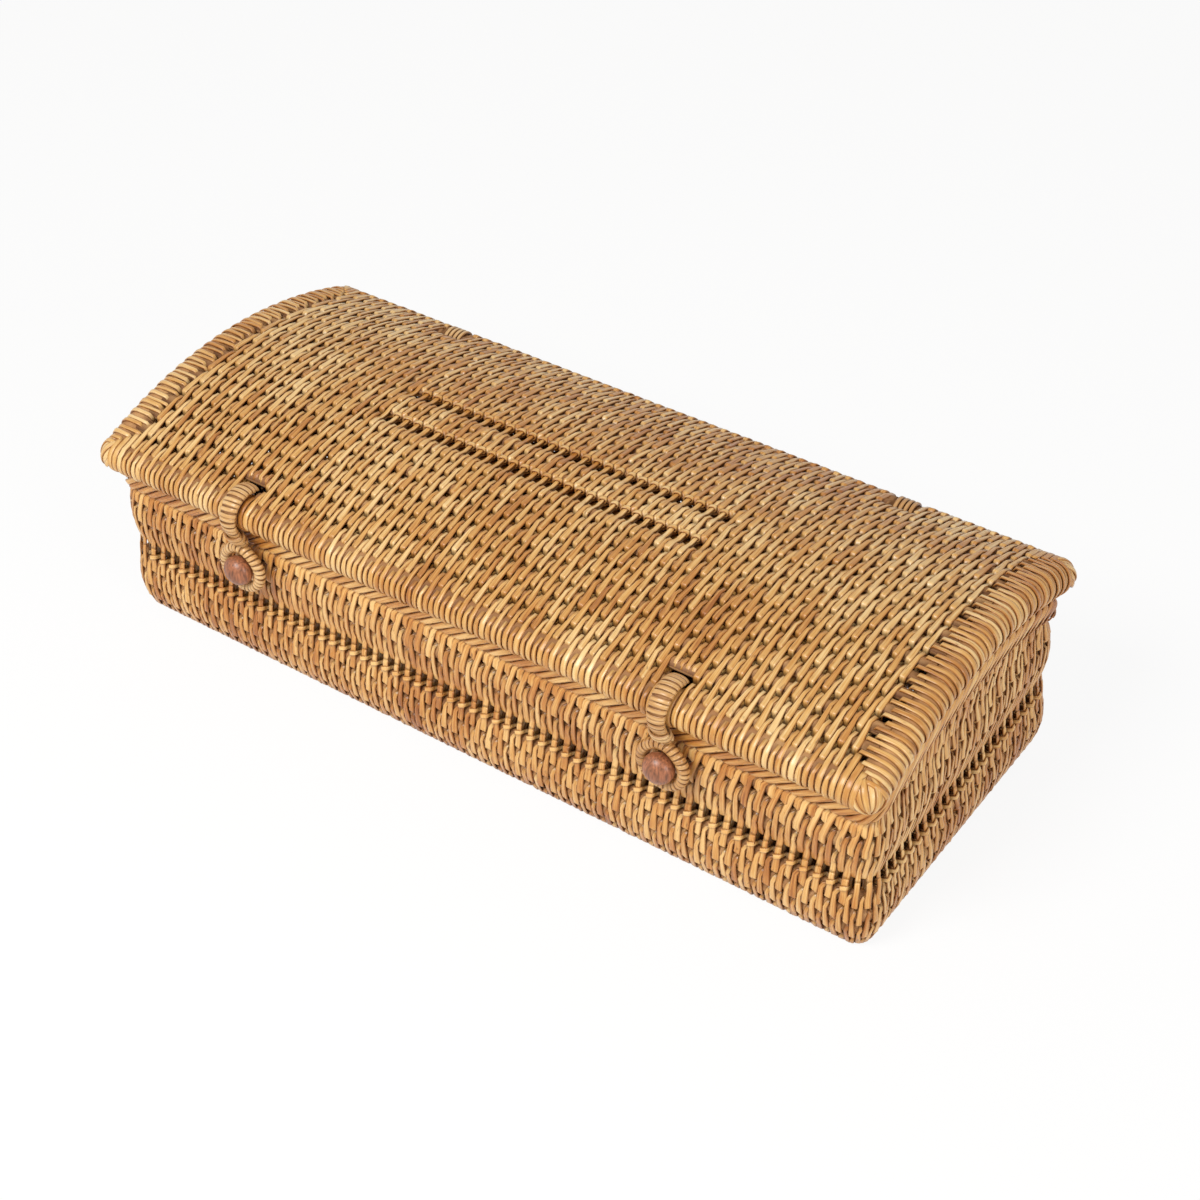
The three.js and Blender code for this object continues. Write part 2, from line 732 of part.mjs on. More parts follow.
function addPiece(name, geometry, finish) {
  const [color, roughness, metalness] = finishes[finish];
  const material = new THREE.MeshStandardMaterial({ color, roughness, metalness });
  const mesh = new THREE.Mesh(closedGeometry(geometry), material);
  mesh.name = name;
  teaBox.add(mesh);
}

function addBase() {
  addPiece('base_floor', baseFloor(), 'innerCane');
  addPiece('front_wall', frontWall(), 'wallCane');
  addPiece('back_wall', backWall(), 'wallCane');
  addPiece('left_wall', endWall(-1), 'wallCane');
  addPiece('right_wall', endWall(1), 'wallCane');
  addPiece('corner_front_left', wallCorner(-1, -1), 'wallCane');
  addPiece('corner_front_right', wallCorner(1, -1), 'wallCane');
  addPiece('corner_back_left', wallCorner(-1, 1), 'wallCane');
  addPiece('corner_back_right', wallCorner(1, 1), 'wallCane');
  addPiece('rim_front', longRim(-1), 'rimCane');
  addPiece('rim_back', longRim(1), 'rimCane');
  addPiece('rim_left', endRim(-1), 'rimCane');
  addPiece('rim_right', endRim(1), 'rimCane');
  dividerPlaces().forEach((place, i) => addPiece(`divider_${i + 1}`, divider(place), 'innerCane'));
  addPiece('hinge_lashing_left', lashing(-lashingPlace), 'wrappedCane');
  addPiece('hinge_lashing_right', lashing(lashingPlace), 'wrappedCane');
}

function addLid() {
  addPiece('lid_panel', lidPanel(), 'lidCane');
  addPiece('lid_front_roll', longRoll(-1), 'lidCane');
  addPiece('lid_back_roll', backRoll(), 'lidCane');
  addPiece('lid_left_roll', endRoll(-1), 'lidCane');
  addPiece('lid_right_roll', endRoll(1), 'lidCane');
}

function addClosures() {
  for (const [side, place] of Object.entries(closurePlaces)) {
    addPiece(`${side}_knob`, knob(place), 'knobWood');
    addPiece(`${side}_knob_tie`, knobTie(place), 'wrappedCane');
    addPiece(`${side}_loop_strap`, strap(place), 'wrappedCane');
    addPiece(`${side}_loop_binding`, binding(place), 'wrappedCane');
    addPiece(`${side}_loop_ring`, ring(place), 'wrappedCane');
  }
}

// The origin is under the middle of the whole box, at the level it stands on
function centreOnOrigin() {
  const bounds = new THREE.Box3().setFromObject(teaBox, true);
  const middle = bounds.getCenter(new THREE.Vector3());
  teaBox.position.set(-middle.x, -middle.y, -bounds.min.z);
}

addBase();
addLid();
addClosures();
centreOnOrigin();

export default teaBox;
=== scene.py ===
"""Woven rattan tea box: its cane, rods, plait, lashings and closures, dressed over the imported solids."""

import math
from types import SimpleNamespace

import bpy
import numpy as np
from bpy.props import FloatProperty, FloatVectorProperty, PointerProperty
from mathutils import Matrix, Vector


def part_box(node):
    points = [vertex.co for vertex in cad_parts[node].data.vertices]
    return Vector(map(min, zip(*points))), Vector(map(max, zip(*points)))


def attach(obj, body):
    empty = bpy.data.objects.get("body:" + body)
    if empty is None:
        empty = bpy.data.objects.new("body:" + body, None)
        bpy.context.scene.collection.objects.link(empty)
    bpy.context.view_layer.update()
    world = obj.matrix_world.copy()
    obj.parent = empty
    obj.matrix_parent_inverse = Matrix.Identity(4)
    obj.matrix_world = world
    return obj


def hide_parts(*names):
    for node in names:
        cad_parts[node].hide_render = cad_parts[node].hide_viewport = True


bl_info = {
    "name": "Rattan tea box",
    "version": (1, 0, 0),
    "blender": (4, 5, 0),
    "location": "View3D > Sidebar > Tea box",
    "description": "Weaves a hinged rattan tea box with a barrel lid",
    "category": "Add Mesh",
}

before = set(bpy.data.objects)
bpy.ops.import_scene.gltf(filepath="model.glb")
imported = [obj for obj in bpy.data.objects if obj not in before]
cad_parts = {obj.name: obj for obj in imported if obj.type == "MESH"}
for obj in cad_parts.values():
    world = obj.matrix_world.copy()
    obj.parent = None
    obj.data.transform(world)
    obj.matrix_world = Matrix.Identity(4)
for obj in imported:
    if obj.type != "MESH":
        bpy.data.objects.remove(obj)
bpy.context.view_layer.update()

MM = 0.001
# The solids' origin is under the middle of the whole box, so the lid's two long rolls give the shift
SHIFT_Y = (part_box("lid_front_roll")[0].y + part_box("lid_back_roll")[1].y) / 2 / MM

# Sizes of the solids that the weave follows, in millimetres
ROLL_RADIUS = 7.6
ARCH_HALF = 73.4
ARCH_RISE = 14.6
ROLL_HEIGHT = (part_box("lid_back_roll")[0].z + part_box("lid_back_roll")[1].z) / 2 / MM
ROLL_END = 182.4
ROD_HALF = 2.7
HALF_LENGTH, HALF_DEPTH, CORNER = 188.0, 74.5, 11.0
LOW_RODS = (2.3, 10.1, 17.9, 25.7)
HIGH_RODS = (43.1, 52.6, 62.1)
ARCH_RODS = (69.3, 75.6)
WAIST, WALL_TOP = 34.4, 64.8
RIM_MIDDLE, RIM_INWARD = 70.1, 4.6
RIM_HALF_WIDE, RIM_HALF_HIGH = 3.2, 4.6
OPEN_ROW = 9.775
OPEN_START, OPEN_END = -84.0, 70.0
CLOSURES = {"left": -110.0, "right": 100.0}
LASHINGS = {"left": -115.0, "right": 115.0}
DIVIDERS = (-107.66, -35.89, 35.89, 107.66)
STRAP_TAIL, STRAP_LEAVE, STRAP_MIDDLE = math.radians(60), math.radians(205), 10.0
STRAP_DROP = 8.52
KNOB_HEIGHT, KNOB_WIDEST, KNOB_RADIUS, KNOB_DOME = 57.35, 81.66, 6.6, 5.2
RING_RADIUS, RING_POINT = 9.4, 14.0

AXIS_X, AXIS_Z = np.array([1.0, 0, 0]), np.array([0, 0, 1.0])

rng = np.random.default_rng(11)


# Strips and rods


# Section of split cane: a crowned skin over a flat back, as shares of half the width and of the thickness
CROWN = np.array([(-1, 0.1), (-0.9, 0.78), (-0.55, 1), (0.55, 1), (0.9, 0.78), (1, 0.1)])


class Weave:
    """Gathers strips and rods, in millimetres, until they become one mesh."""

    def __init__(self):
        self.points, self.faces, self.maps, self.tones, self.shades = [], [], [], [], []
        self.count = 0

    def skin(self, rings, along, across, tone, closed=False, shade=0.0):
        """Adds a skin over rings of points, an array of (rings, points, 3)."""
        number, sides = rings.shape[:2]
        i = np.arange(number if closed else number - 1)[:, None]
        j = np.arange(sides)[None, :]
        here, ahead = i * sides, ((i + 1) % number) * sides
        quads = np.stack([here + j, here + (j + 1) % sides, ahead + (j + 1) % sides, ahead + j], -1)
        faces = [quads.reshape(-1, 4)]
        if not closed:
            k = np.arange(sides // 2 - 1)
            cap = np.stack([k, k + 1, sides - 2 - k, sides - 1 - k], -1)
            faces += [cap[:, ::-1], cap + (number - 1) * sides]
        self.faces.append(np.concatenate(faces) + self.count)
        self.points.append(rings.reshape(-1, 3))
        self.maps.append(joined(along[:, None], across).reshape(-1, 2))
        self.tones.append(np.full(number * sides, tone))
        # shade is painted shade at each point, which the material uses to darken the colour
        self.shades.append(np.repeat(np.broadcast_to(shade, number), sides))
        self.count += number * sides

    def sweep(self, path, out, aside, outward, across, tone, closed, tilt=0.0, shade=0.0):
        """Carries a section along a path, its points given by their distances aside and outward."""
        side_way, out, along = directions(path, out, closed)
        side_way, out = side_way - tilt * out, out + tilt * side_way
        rings = path[:, None] + side_way[:, None] * aside[..., None] + out[:, None] * outward[..., None]
        self.skin(rings, along, across, tone, closed, shade)

    def strip(self, path, out, width, thick, tone, closed=False, tilt=0.0, shade=0.0):
        """Adds a crowned strip of split cane, its shiny side facing out or tilted a little."""
        aside = CROWN[:, 0] * np.broadcast_to(width, len(path))[:, None] / 2
        outward = (CROWN[None, :, 1] - 0.5) * thick
        self.sweep(path, out, aside, outward, CROWN[:, 0], tone, closed, tilt, shade)

    def rod(self, path, out, radius, tone, closed=False, sides=10, flat=1.0):
        """Adds a round rod, or an oval one where flat isn't 1."""
        turn = -2 * np.pi * np.arange(sides) / sides
        radius = np.broadcast_to(radius, len(path))[:, None]
        aside, outward = np.cos(turn) * radius, np.sin(turn) * radius * flat
        self.sweep(path, out, aside, outward, np.linspace(-1, 1, sides), tone, closed)


def joined(*parts):
    """Points made of their coordinates, which are numbers or arrays."""
    return np.stack(np.broadcast_arrays(*parts), -1)


def unit(vectors):
    """The vectors made one long."""
    return vectors / np.linalg.norm(vectors, axis=-1, keepdims=True)


def distance_along(path):
    """Distance gone at each point of a path."""
    return np.concatenate([[0], np.cumsum(np.linalg.norm(np.diff(path, axis=0), axis=1))])


def directions(path, out, closed):
    """Side and outward directions along a path, and the distance gone."""
    if closed:
        tangent = np.roll(path, -1, 0) - np.roll(path, 1, 0)
    else:
        tangent = np.gradient(path, axis=0)
    tangent = unit(tangent)
    side_way = unit(np.cross(tangent, np.broadcast_to(out, path.shape)))
    return side_way, np.cross(side_way, tangent), distance_along(path)


def make_piece(name, weave, finish, body, slot, *stand_for):
    """Turns a weave into a mesh that rides on a body and may stand for solids."""
    points = np.concatenate(weave.points) + (0, SHIFT_Y, 0)
    faces = np.concatenate(weave.faces)
    mesh = bpy.data.meshes.new(name)
    mesh.vertices.add(len(points))
    mesh.vertices.foreach_set("co", (points * MM).ravel())
    mesh.loops.add(faces.size)
    mesh.loops.foreach_set("vertex_index", faces.ravel())
    mesh.polygons.add(len(faces))
    mesh.polygons.foreach_set("loop_start", np.arange(0, faces.size, 4))
    mesh.update(calc_edges=True)
    chart = mesh.uv_layers.new(name="cane")
    chart.data.foreach_set("uv", np.concatenate(weave.maps)[faces.ravel()].ravel())
    for key, values in (("tone", weave.tones), ("shade", weave.shades)):
        mesh.attributes.new(key, "FLOAT", "POINT").data.foreach_set("value", np.concatenate(values))
    mesh.shade_smooth()
    mesh.materials.append(cane_finish(finish))
    piece = bpy.data.objects.new(name, mesh)
    bpy.context.scene.collection.objects.link(piece)
    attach(piece, body)
    if stand_for:
        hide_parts(*stand_for)


def dress(node, finish, body, slot, **weaves):
    """Makes a solid's two pieces: its cane, which stands for it, and the rods or core that the cane covers."""
    (outer, cane), (inner, rods) = weaves.items()
    make_piece(f"{node}_{outer}", cane, finish, body, slot, node)
    make_piece(f"{node}_{inner}", rods, "rod", body, slot)


def arch(y):
    """Rise of the barrel arch above the corners."""
    return ARCH_RISE * np.maximum(0, 1 - (np.asarray(y) / ARCH_HALF) ** 2)


def ease(t):
    """Smooth step from 0 to 1."""
    t = np.clip(t, 0, 1)
    return t * t * (3 - 2 * t)


def bell(values, centre, spread):
    """A bump that is 1 at its centre."""
    return np.exp(-((values - centre) / spread) ** 2)


def read_off(at, gone, rows):
    """Values of each column of rows at distances along them."""
    return np.stack([np.interp(at, gone, column) for column in rows.T], -1)


def through(stations, per_gap=6, snap=1.15):
    """Samples rows of station values: the first runs evenly, the others swing from one to the next."""
    stations = np.asarray(stations, float)
    share = np.linspace(0, 1, per_gap, endpoint=False)
    swing = (1 - np.cos(np.pi * np.clip((share - 0.5) * snap + 0.5, 0, 1))) / 2
    start, gap = stations[:-1], np.diff(stations, axis=0)
    rows = start[:, None, :] + gap[:, None, :] * swing[None, :, None]
    rows[:, :, 0] = start[:, None, 0] + gap[:, None, 0] * share
    return np.concatenate([rows.reshape(-1, stations.shape[1]), stations[-1:]])


# Places between two rods where a strip is sampled: close together where it changes sides, else far apart
TURNING = np.array([0, 0.2, 0.3, 0.36, 0.41, 0.46, 0.51, 0.56, 0.62, 0.7])
STRAIGHT = np.array([0, 0.5])
# Where between two rods a strip dives and where one comes up, and how many times too fast for the gap
DIVE_AT, RISE_AT, STEEPNESS = 0.45, 0.59, 4
# Share of the full swing from one side to the other that makes a change of sides
CHANGES_SIDES = 0.4


def lies_over(index, odd, first):
    """Whether the first or second strip of a column lies over a rod: two rods over, then two under."""
    return ((index + odd) // 2 % 2 == 0) == first


def weaving(stations, reach):
    """Samples stations of (along, offset, sway) that run down or forward; adds share of width and painted
    shade.

    A strip bulges over the edge of the last rod it covers and drops steeply, beside the narrow start of
    the one that comes up there and widens as it runs on. Painted shade darkens it between the rods, deep in
    the weave.
    """
    stations = np.array(stations, float)
    rows, rose = [], False
    for here, ahead in zip(stations[:-1], stations[1:]):
        change = (ahead[1] - here[1]) / (2 * reach)
        dives, rises = change < -CHANGES_SIDES, change > CHANGES_SIDES
        share = swing = STRAIGHT
        if dives or rises:
            share = TURNING
            swing = np.clip((share - (DIVE_AT if dives else RISE_AT)) * STEEPNESS + 0.5, 0, 1)
            swing = (1 - np.cos(np.pi * swing)) / 2
        part = here + (ahead - here) * swing[:, None]
        part[:, 0] = here[0] + (ahead[0] - here[0]) * share
        up = np.clip(part[:, 1] / reach, -1, 1)
        # shade is painted shade: darkest where a strip passes the middle between the rods, and on strips drawn
        # in at the open rows
        if dives:
            part[:, 1] += 0.15 * bell(share, 0.3, 0.08)
            part[:, 2] -= 0.3 * bell(share, 0.6, 0.2)
            width, shade = 0.84 + 0.3 * np.clip(up + 1, 0, 1), bell(up, 0, 0.55)
        elif rises:
            part[:, 2] += 0.8 * bell(share, 0.64, 0.22)
            width, shade = 0.46 + 0.26 * np.clip(up, 0, 1), bell(up, 0.1, 0.7)
        else:
            width, shade = np.where(up < -0.6, 1.14, 0.84), np.where(abs(up + 0.15) < 0.45, 0.7, 0.0)
            if min(here[1], ahead[1]) > 0.8 * reach:
                width = 0.72 + 0.36 * share if rose else np.ones(len(share))
        rose = rises
        rows.append(np.column_stack([part, width, shade]))
    return np.concatenate([*rows, [[*stations[-1], 1.0, 0.0]]]).T


def lay_strip(weave, path, out, width, shade, size):
    """Adds a strip of the weave, no two quite as wide, as dark or as flat as each other."""
    width = width * size.width * rng.uniform(0.9, 1.1)
    tone, tilt = rng.uniform(), rng.uniform(-0.15, 0.22)
    weave.strip(path, out, width, size.thickness, tone, tilt=tilt, shade=shade)


def wrap(weave, centres, wide_way, thick_way, half_wide, half_thick, width, thick, turns):
    """Winds one strip round an oval core whose centre line, directions and half sizes are given."""
    gone = distance_along(centres)
    angle = np.linspace(0, 2 * np.pi * turns, int(turns * 20))
    # Hand winding: no two turns are quite the same distance apart
    at = angle / angle[-1] * gone[-1]
    at += 0.13 * width * np.sin(0.37 * angle + rng.uniform(0, 6)) * np.sin(np.pi * at / gone[-1])
    core = joined(*centres.T, *wide_way.T, *thick_way.T, half_wide, half_thick)
    core = read_off(at, gone, core)
    centre, wide_at, thick_at = core[:, :3], core[:, 3:6], core[:, 6:9]
    a, b = core[:, 9:10], core[:, 10:]
    c, s = np.cos(angle)[:, None], np.sin(angle)[:, None]
    path = centre + wide_at * a * c + thick_at * b * s
    out = wide_at * c / a + thick_at * s / b
    weave.strip(path, out, width, thick, rng.uniform())


# The base: columns of cane all round its outline, over and under rods that bend round the corners


LENGTH_RUN, DEPTH_RUN, TURN_RUN = 354.0, 127.0, CORNER * math.pi / 2
RUNS = [LENGTH_RUN, TURN_RUN, DEPTH_RUN, TURN_RUN] * 2
ENDS = np.concatenate([[0], np.cumsum(RUNS)])
PIVOT_X = np.array([-1, 1, 1, 1, 1, -1, -1, -1, -1]) * (HALF_LENGTH - CORNER)
PIVOT_Y = np.array([-1, -1, -1, 1, 1, 1, 1, -1, -1]) * (HALF_DEPTH - CORNER)
FACING = np.radians([-90, -90, 0, 0, 90, 90, 180, 180, 270])
FRONT, BACK = FACING[0], FACING[4]
CORNER_COLUMNS = 6
COLUMNS = [124, CORNER_COLUMNS, 44, CORNER_COLUMNS] * 2
WALLS = ["front_wall", "corner_front_right", "right_wall", "corner_back_right",
         "back_wall", "corner_back_left", "left_wall", "corner_front_left"]
RIMS = {"rim_front": (0, 1), "rim_right": (1, 4), "rim_back": (4, 5), "rim_left": (5, 8)}

# How far under the top of the wall a rod has to lie to show
ROD_COVER = 2.2
# Half heights of the flattened rods; the one over the open row is broader and hangs a little lower
ROD_HALVES = dict(zip(LOW_RODS + HIGH_RODS + ARCH_RODS, [2.1, 3.35, 3.35, 3.35, 4.2, 4.2, 4.2, 2.9, 2.9]))
OPEN_ROD_DROP = 1.3
# Share of the cane's width on the end walls and the long walls, found by the facing's sine, and on corners
WALL_WIDTHS, CORNER_WIDTH = {0.0: 0.86, 1.0: 1.1}, 0.9
# Height where a strip leaves the rod over the open row
ABOVE_OPEN_ROW = 39.4
# Heights and offsets across the open row, of a strip that runs straight on and of one that is drawn in
STRAIGHT_ON = ((35.8, 3.95), (32.6, 3.9), (30.4, 3.4))
DRAWN_IN = ((32.6, -0.6), (30.4, -0.6))
# Height where a strip ends under a lashing, and how near its middle; a strip leans so far by then
LASHED_TOP, LASHED_HALF, TOP_LEAN = 63.2, 8, 5
# How a strip is carried on round the underside of the lowest rod
CURL = -np.radians(np.linspace(15, 110, 6))
CURL_RADIUS = 1.75
# The strand that is knotted round the columns under the open row, and the one behind it, darkened with painted
# shade so the row's holes look shadowed
KNOT_HEIGHT, KNOT_OFFSET = 29.8, 4.2
STRAND_HEIGHT, STRAND_OFFSET = 34.0, -3.0


def facing_at(run):
    """Direction that the base's outline faces at a run along it."""
    return np.interp(np.mod(run, ENDS[-1]), ENDS, FACING)


def pivot_at(run):
    """Point that the outline turns about at a run along it."""
    run = np.mod(run, ENDS[-1])
    return np.interp(run, ENDS, PIVOT_X), np.interp(run, ENDS, PIVOT_Y)


def round_base(run, inward, height):
    """Places at a run along the base's outline, a distance inward and a height."""
    facing, (x, y) = facing_at(run), pivot_at(run)
    reach = CORNER - inward
    return joined(x + reach * np.cos(facing), y + reach * np.sin(facing), height)


def outline_y(run):
    """Where the outline is across the box, for the height of the arch there."""
    return pivot_at(run)[1] + CORNER * np.sin(facing_at(run))


def wall_inset(height):
    """How far the wall's outer face stands in at a height."""
    lower = 4 * (1 - np.sin(np.pi * height / WAIST))
    share = np.clip((height - WAIST) / (WALL_TOP - WAIST), 0, 1)
    upper = 1 + 3.2 * (1 - np.sin(0.88 * np.pi * share))
    return np.where(height < WAIST, lower, upper)


def on_wall(run, height, offset):
    """Places and outward directions on the wall, a distance off its sheet of rods."""
    slope = (wall_inset(height + 0.5) - wall_inset(height - 0.5)) * np.ones_like(height)
    size = np.hypot(1, slope)
    inward = wall_inset(height) + ROD_HALF - offset / size
    places = round_base(run, inward, height + offset * slope / size)
    facing = facing_at(run)
    return places, joined(np.cos(facing) / size, np.sin(facing) / size, slope / size)


def lean(height, top):
    """How far a column has moved along the wall: it leans above the waist and bends into the plait."""
    above = height - 38
    return max(0.13 * above, 0.03 * above) + 2.4 * np.clip(1 - (top - height) / 9, 0, 1) ** 2


def top_stations(run, top, over, spacing):
    """Stations of a strip above its highest rod, where it runs up under the plait or ends at a lashing."""
    facing, x = facing_at(run), round_base(run + TOP_LEAN, 0, 0)[0]
    if facing == BACK and any(abs(x - place) < LASHED_HALF for place in LASHINGS.values()):
        return [(LASHED_TOP, 0.4, lean(LASHED_TOP, top))]
    if over:
        return [(top + 1.5, 0.3, lean(top, top) + 0.8), (top - 0.3, 0.9, lean(top, top))]
    if facing not in (FRONT, BACK):
        return [(top + 1.2, -0.9, lean(top, top) + 0.5 * spacing)]
    return []


def wall_column(weave, run, spacing, odd, size):
    """The two strips of a column, from under the plait down to the foot.

    At the open row the odd columns run straight on and the even ones are drawn in behind them.
    """
    top = WALL_TOP + float(arch(outline_y(run)))
    rods = [h for h in LOW_RODS + HIGH_RODS + ARCH_RODS if h + ROD_COVER < top]
    reach = size.rod + size.thickness / 2
    facing = facing_at(run)
    slack = 0.6 if abs(math.cos(facing)) > 0.5 else 0.25
    share = WALL_WIDTHS.get(round(abs(math.sin(facing)), 6), CORNER_WIDTH)
    for first in (True, False):
        over = [lies_over(i, odd, first) for i in range(len(rods))]
        stations = top_stations(run, top, over[-1], spacing)
        for i in reversed(range(len(rods))):
            if i == len(LOW_RODS) - 1:
                sway = 0.0 if odd else 0.8 * spacing
                stations.append((ABOVE_OPEN_ROW, stations[-1][1], stations[-1][2] / 2))
                stations += [(*place, sway) for place in (STRAIGHT_ON if odd and first else DRAWN_IN)]
            offset = (reach if over[i] else -reach) * (0.83 if i == 0 else 1) * rng.uniform(0.95, 1.02)
            stations.append((rods[i], offset, rng.normal(0, slack) + lean(rods[i], top)))
        if not over[0]:
            stations.append((0.9, -1.2, 0))
        height, offset, sway, width, shade = weaving(stations, reach)
        path, out = on_wall(run + sway, height, offset)
        if over[0]:
            path, out = curl_under(path, out, run + sway[-1])
            width, shade = np.append(width, np.ones(len(CURL))), np.append(shade, np.zeros(len(CURL)))
        lay_strip(weave, path, out, width * share, shade, size)


def curl_under(path, out, run):
    """Carries a strip on round the underside of the lowest rod."""
    facing = facing_at(run)
    ahead = np.array([math.cos(facing), math.sin(facing), 0])
    middle = on_wall(run, np.array([LOW_RODS[0]]), 0.0)[0]
    around = np.outer(np.cos(CURL), ahead) + np.outer(np.sin(CURL), AXIS_Z)
    return np.concatenate([path, middle + CURL_RADIUS * around]), np.concatenate([out, around])


def wall_rods(weave, start, end, size):
    """The rods of one stretch of wall, a little wavy, and a strand behind its open row, darkened with painted
    shade.
    """
    samples = np.linspace(start, end, max(int((end - start) / 6), 6))
    fade = np.sqrt(np.sin(np.pi * (samples - start) / (end - start)).clip(0))
    heights = LOW_RODS + HIGH_RODS
    if end - start == DEPTH_RUN:
        heights += ARCH_RODS
    for height in heights:
        shown = height + ROD_COVER < WALL_TOP + arch(outline_y(samples))
        shown |= height < WALL_TOP
        runs = samples[shown]
        wave = 0.22 * np.sin(runs / 9 + height) * fade[shown]
        drop = OPEN_ROD_DROP if height == HIGH_RODS[0] else 0.0
        path, out = on_wall(runs, height + wave - drop, np.zeros(len(runs)))
        thick, wide = size.rod * (0.8 if height == LOW_RODS[0] else 1), ROD_HALVES[height] + drop
        weave.rod(path, out, wide, rng.uniform(), sides=12, flat=thick / wide)
    # A strand behind the open row, darkened with painted shade so the holes in front of it look shadowed
    path, out = on_wall(samples, np.full(len(samples), STRAND_HEIGHT), STRAND_OFFSET)
    weave.strip(path, out, 10.0, 0.5, 0.1, shade=0.6)


def knot_band(weave, start, end, spacing):
    """A strand that goes round each column that shows under the open row, a little higher on its right."""
    runs = np.arange(start, end + 0.1, spacing / 7)
    phase = np.pi * (runs - start) / spacing - 1.5 * np.pi
    behind = ease((np.abs(np.sin(phase / 2)) - 0.55) / 0.3)
    path, out = on_wall(runs, KNOT_HEIGHT + 0.35 * np.sin(phase), KNOT_OFFSET * (1 - behind))
    # Painted shade darkens the strand where it passes behind the columns
    weave.strip(path, out, 2.1, 0.6, 0.9, shade=0.8 * behind)


def weave_walls(size):
    """The four walls and four corners, each a piece of its own."""
    for name, start, end, count in zip(WALLS, ENDS[:-1], ENDS[1:], COLUMNS):
        spacing = (end - start) / count
        rods, cane = Weave(), Weave()
        wall_rods(rods, start, end, size)
        for j in range(count):
            wall_column(cane, start + (j + 0.5) * spacing, spacing, j % 2, size)
        if count > CORNER_COLUMNS:
            knot_band(cane, start, end, spacing)
        dress(name, "wall", "base", "wall_cane", cane=cane, rods=rods)


# The plaited rim


# Distance between two strips of the plait, and how far they run aslant for each millimetre that they rise
RIM_PITCH, RIM_SLANT = 5.7, 1.55
# Power that squares off the rim's oval section
RIM_SQUARENESS = 0.45


def rim_section(turn):
    """Outward and upward place on the rim's oblong section at a turn from its outer side."""
    c, s = np.cos(turn), np.sin(turn)
    outward = RIM_HALF_WIDE * np.sign(c) * np.abs(c) ** RIM_SQUARENESS
    return outward, RIM_HALF_HIGH * np.sign(s) * np.abs(s) ** RIM_SQUARENESS


def on_rim(run, turn, grow=0.0):
    """Places and outward directions on the skin of the rim."""
    outward, up = rim_section(turn)
    ox, uz = outward / RIM_HALF_WIDE ** 2, up / RIM_HALF_HIGH ** 2
    size = np.hypot(ox, uz)
    ox, uz = ox / size, uz / size
    height = RIM_MIDDLE + arch(outline_y(run)) + up + grow * uz
    path = round_base(run, RIM_INWARD - outward - grow * ox, height)
    facing = facing_at(run)
    return path, joined(np.cos(facing) * ox, np.sin(facing) * ox, uz)


def plait_rim(size):
    """Strips laid aslant up the outer side of the rim and over it, close together."""
    front_turn, back_turn = np.radians(np.linspace(-58, 225, 26)), np.radians(np.linspace(72, 215, 14))
    outward, up = rim_section(front_turn)
    over_top = RIM_HALF_HIGH * RIM_SLANT + (RIM_HALF_HIGH - up) * 0.3
    front_shift = np.where(np.cos(front_turn) > 0, up * RIM_SLANT, over_top) - 3.2 - 0.35 * outward
    back_shift = 4 + 0.8 * rim_section(back_turn)[0]
    for name, (first, last) in RIMS.items():
        start, end = ENDS[first], ENDS[last]
        count = round((end - start) / RIM_PITCH)
        pitch = (end - start) / count
        cane, core = Weave(), Weave()
        for j in range(count):
            run = start + (j + 0.5) * pitch + rng.normal(0, 0.18)
            path, out = on_rim(run + front_shift, front_turn, 0.1)
            cane.strip(path, out, size.plait * rng.uniform(0.94, 1.06), size.thickness, rng.uniform())
            path, out = on_rim(run + pitch / 2 + back_shift, back_turn, -0.1)
            cane.strip(path, out, size.plait * 0.9, size.thickness, rng.uniform())
        samples = np.linspace(start, end, max(int((end - start) / 4), 12))
        turns = -2 * np.pi * np.arange(16) / 16
        rings = np.stack([on_rim(samples, np.full(len(samples), t), -0.5)[0] for t in turns], 1)
        core.skin(rings, samples - start, np.linspace(-1, 1, 16), 0.3)
        dress(name, "rim", "base", "rim_cane", plait=cane, core=core)


# Floor and dividers


# How far the sheets inside reach from the middle of the box
INNER_HALF_LENGTH, INNER_HALF_DEPTH = 178.9, 65.4


def flat_weave(name, origin, upright, columns, rods, span, rod_half_span, radius, cane_width, thick):
    """A flat sheet, level or upright across the box: strips over and under rods."""
    def place(*parts):
        return np.roll(joined(*parts), int(upright), 1) + origin

    out = AXIS_X if upright else AXIS_Z
    cane, bars = Weave(), Weave()
    reach = radius + thick / 2
    for j, column in enumerate(columns):
        stations = [(rod, reach if (i + j) % 2 else -reach) for i, rod in enumerate(rods)]
        along, offset = through([(span[0], 0.0), *stations, (span[1], 0.0)], 5).T
        # A strip spreads where it lies over a rod
        width = cane_width * (1 + 0.3 * np.clip(np.abs(offset) / reach, 0, 1)) * rng.uniform(0.94, 1.05)
        cane.strip(place(column, along, offset), out, width, thick * 0.9, rng.uniform())
    for rod in rods:
        along = np.linspace(-rod_half_span, rod_half_span, 12)
        bars.rod(place(along, rod, 0.0), out, radius, rng.uniform(), sides=8)
    dress(name, "inner", "base", "inner_cane", cane=cane, rods=bars)


def weave_inside(size):
    """The floor and the four dividers that make five compartments."""
    width = size.width * 0.97
    columns, rods = np.arange(-62, 63) * 2.85, np.linspace(-62.9, 62.9, 17)
    flat_weave("base_floor", (0, 0, LOW_RODS[0]), False, columns, rods,
               (-INNER_HALF_DEPTH, INNER_HALF_DEPTH), INNER_HALF_LENGTH, 1.6, width, size.thickness)
    columns, rods = (np.arange(46) - 22.5) * 2.82, 7.5 + 7.4 * np.arange(7)
    for n, x in enumerate(DIVIDERS, 1):
        flat_weave(f"divider_{n}", (x, 0, 0), True, columns, rods,
                   (5.4, 54.0), INNER_HALF_DEPTH, 1.4, width, 0.6)


# The lid: one curve from under the front roll, over the barrel, to under the back roll


ROLL_TURNS = np.arange(378, 111, -6)
WRAP_RADIUS = 4.75
# What is left under the solid's skin for strips that bulge
BULGE = 0.25


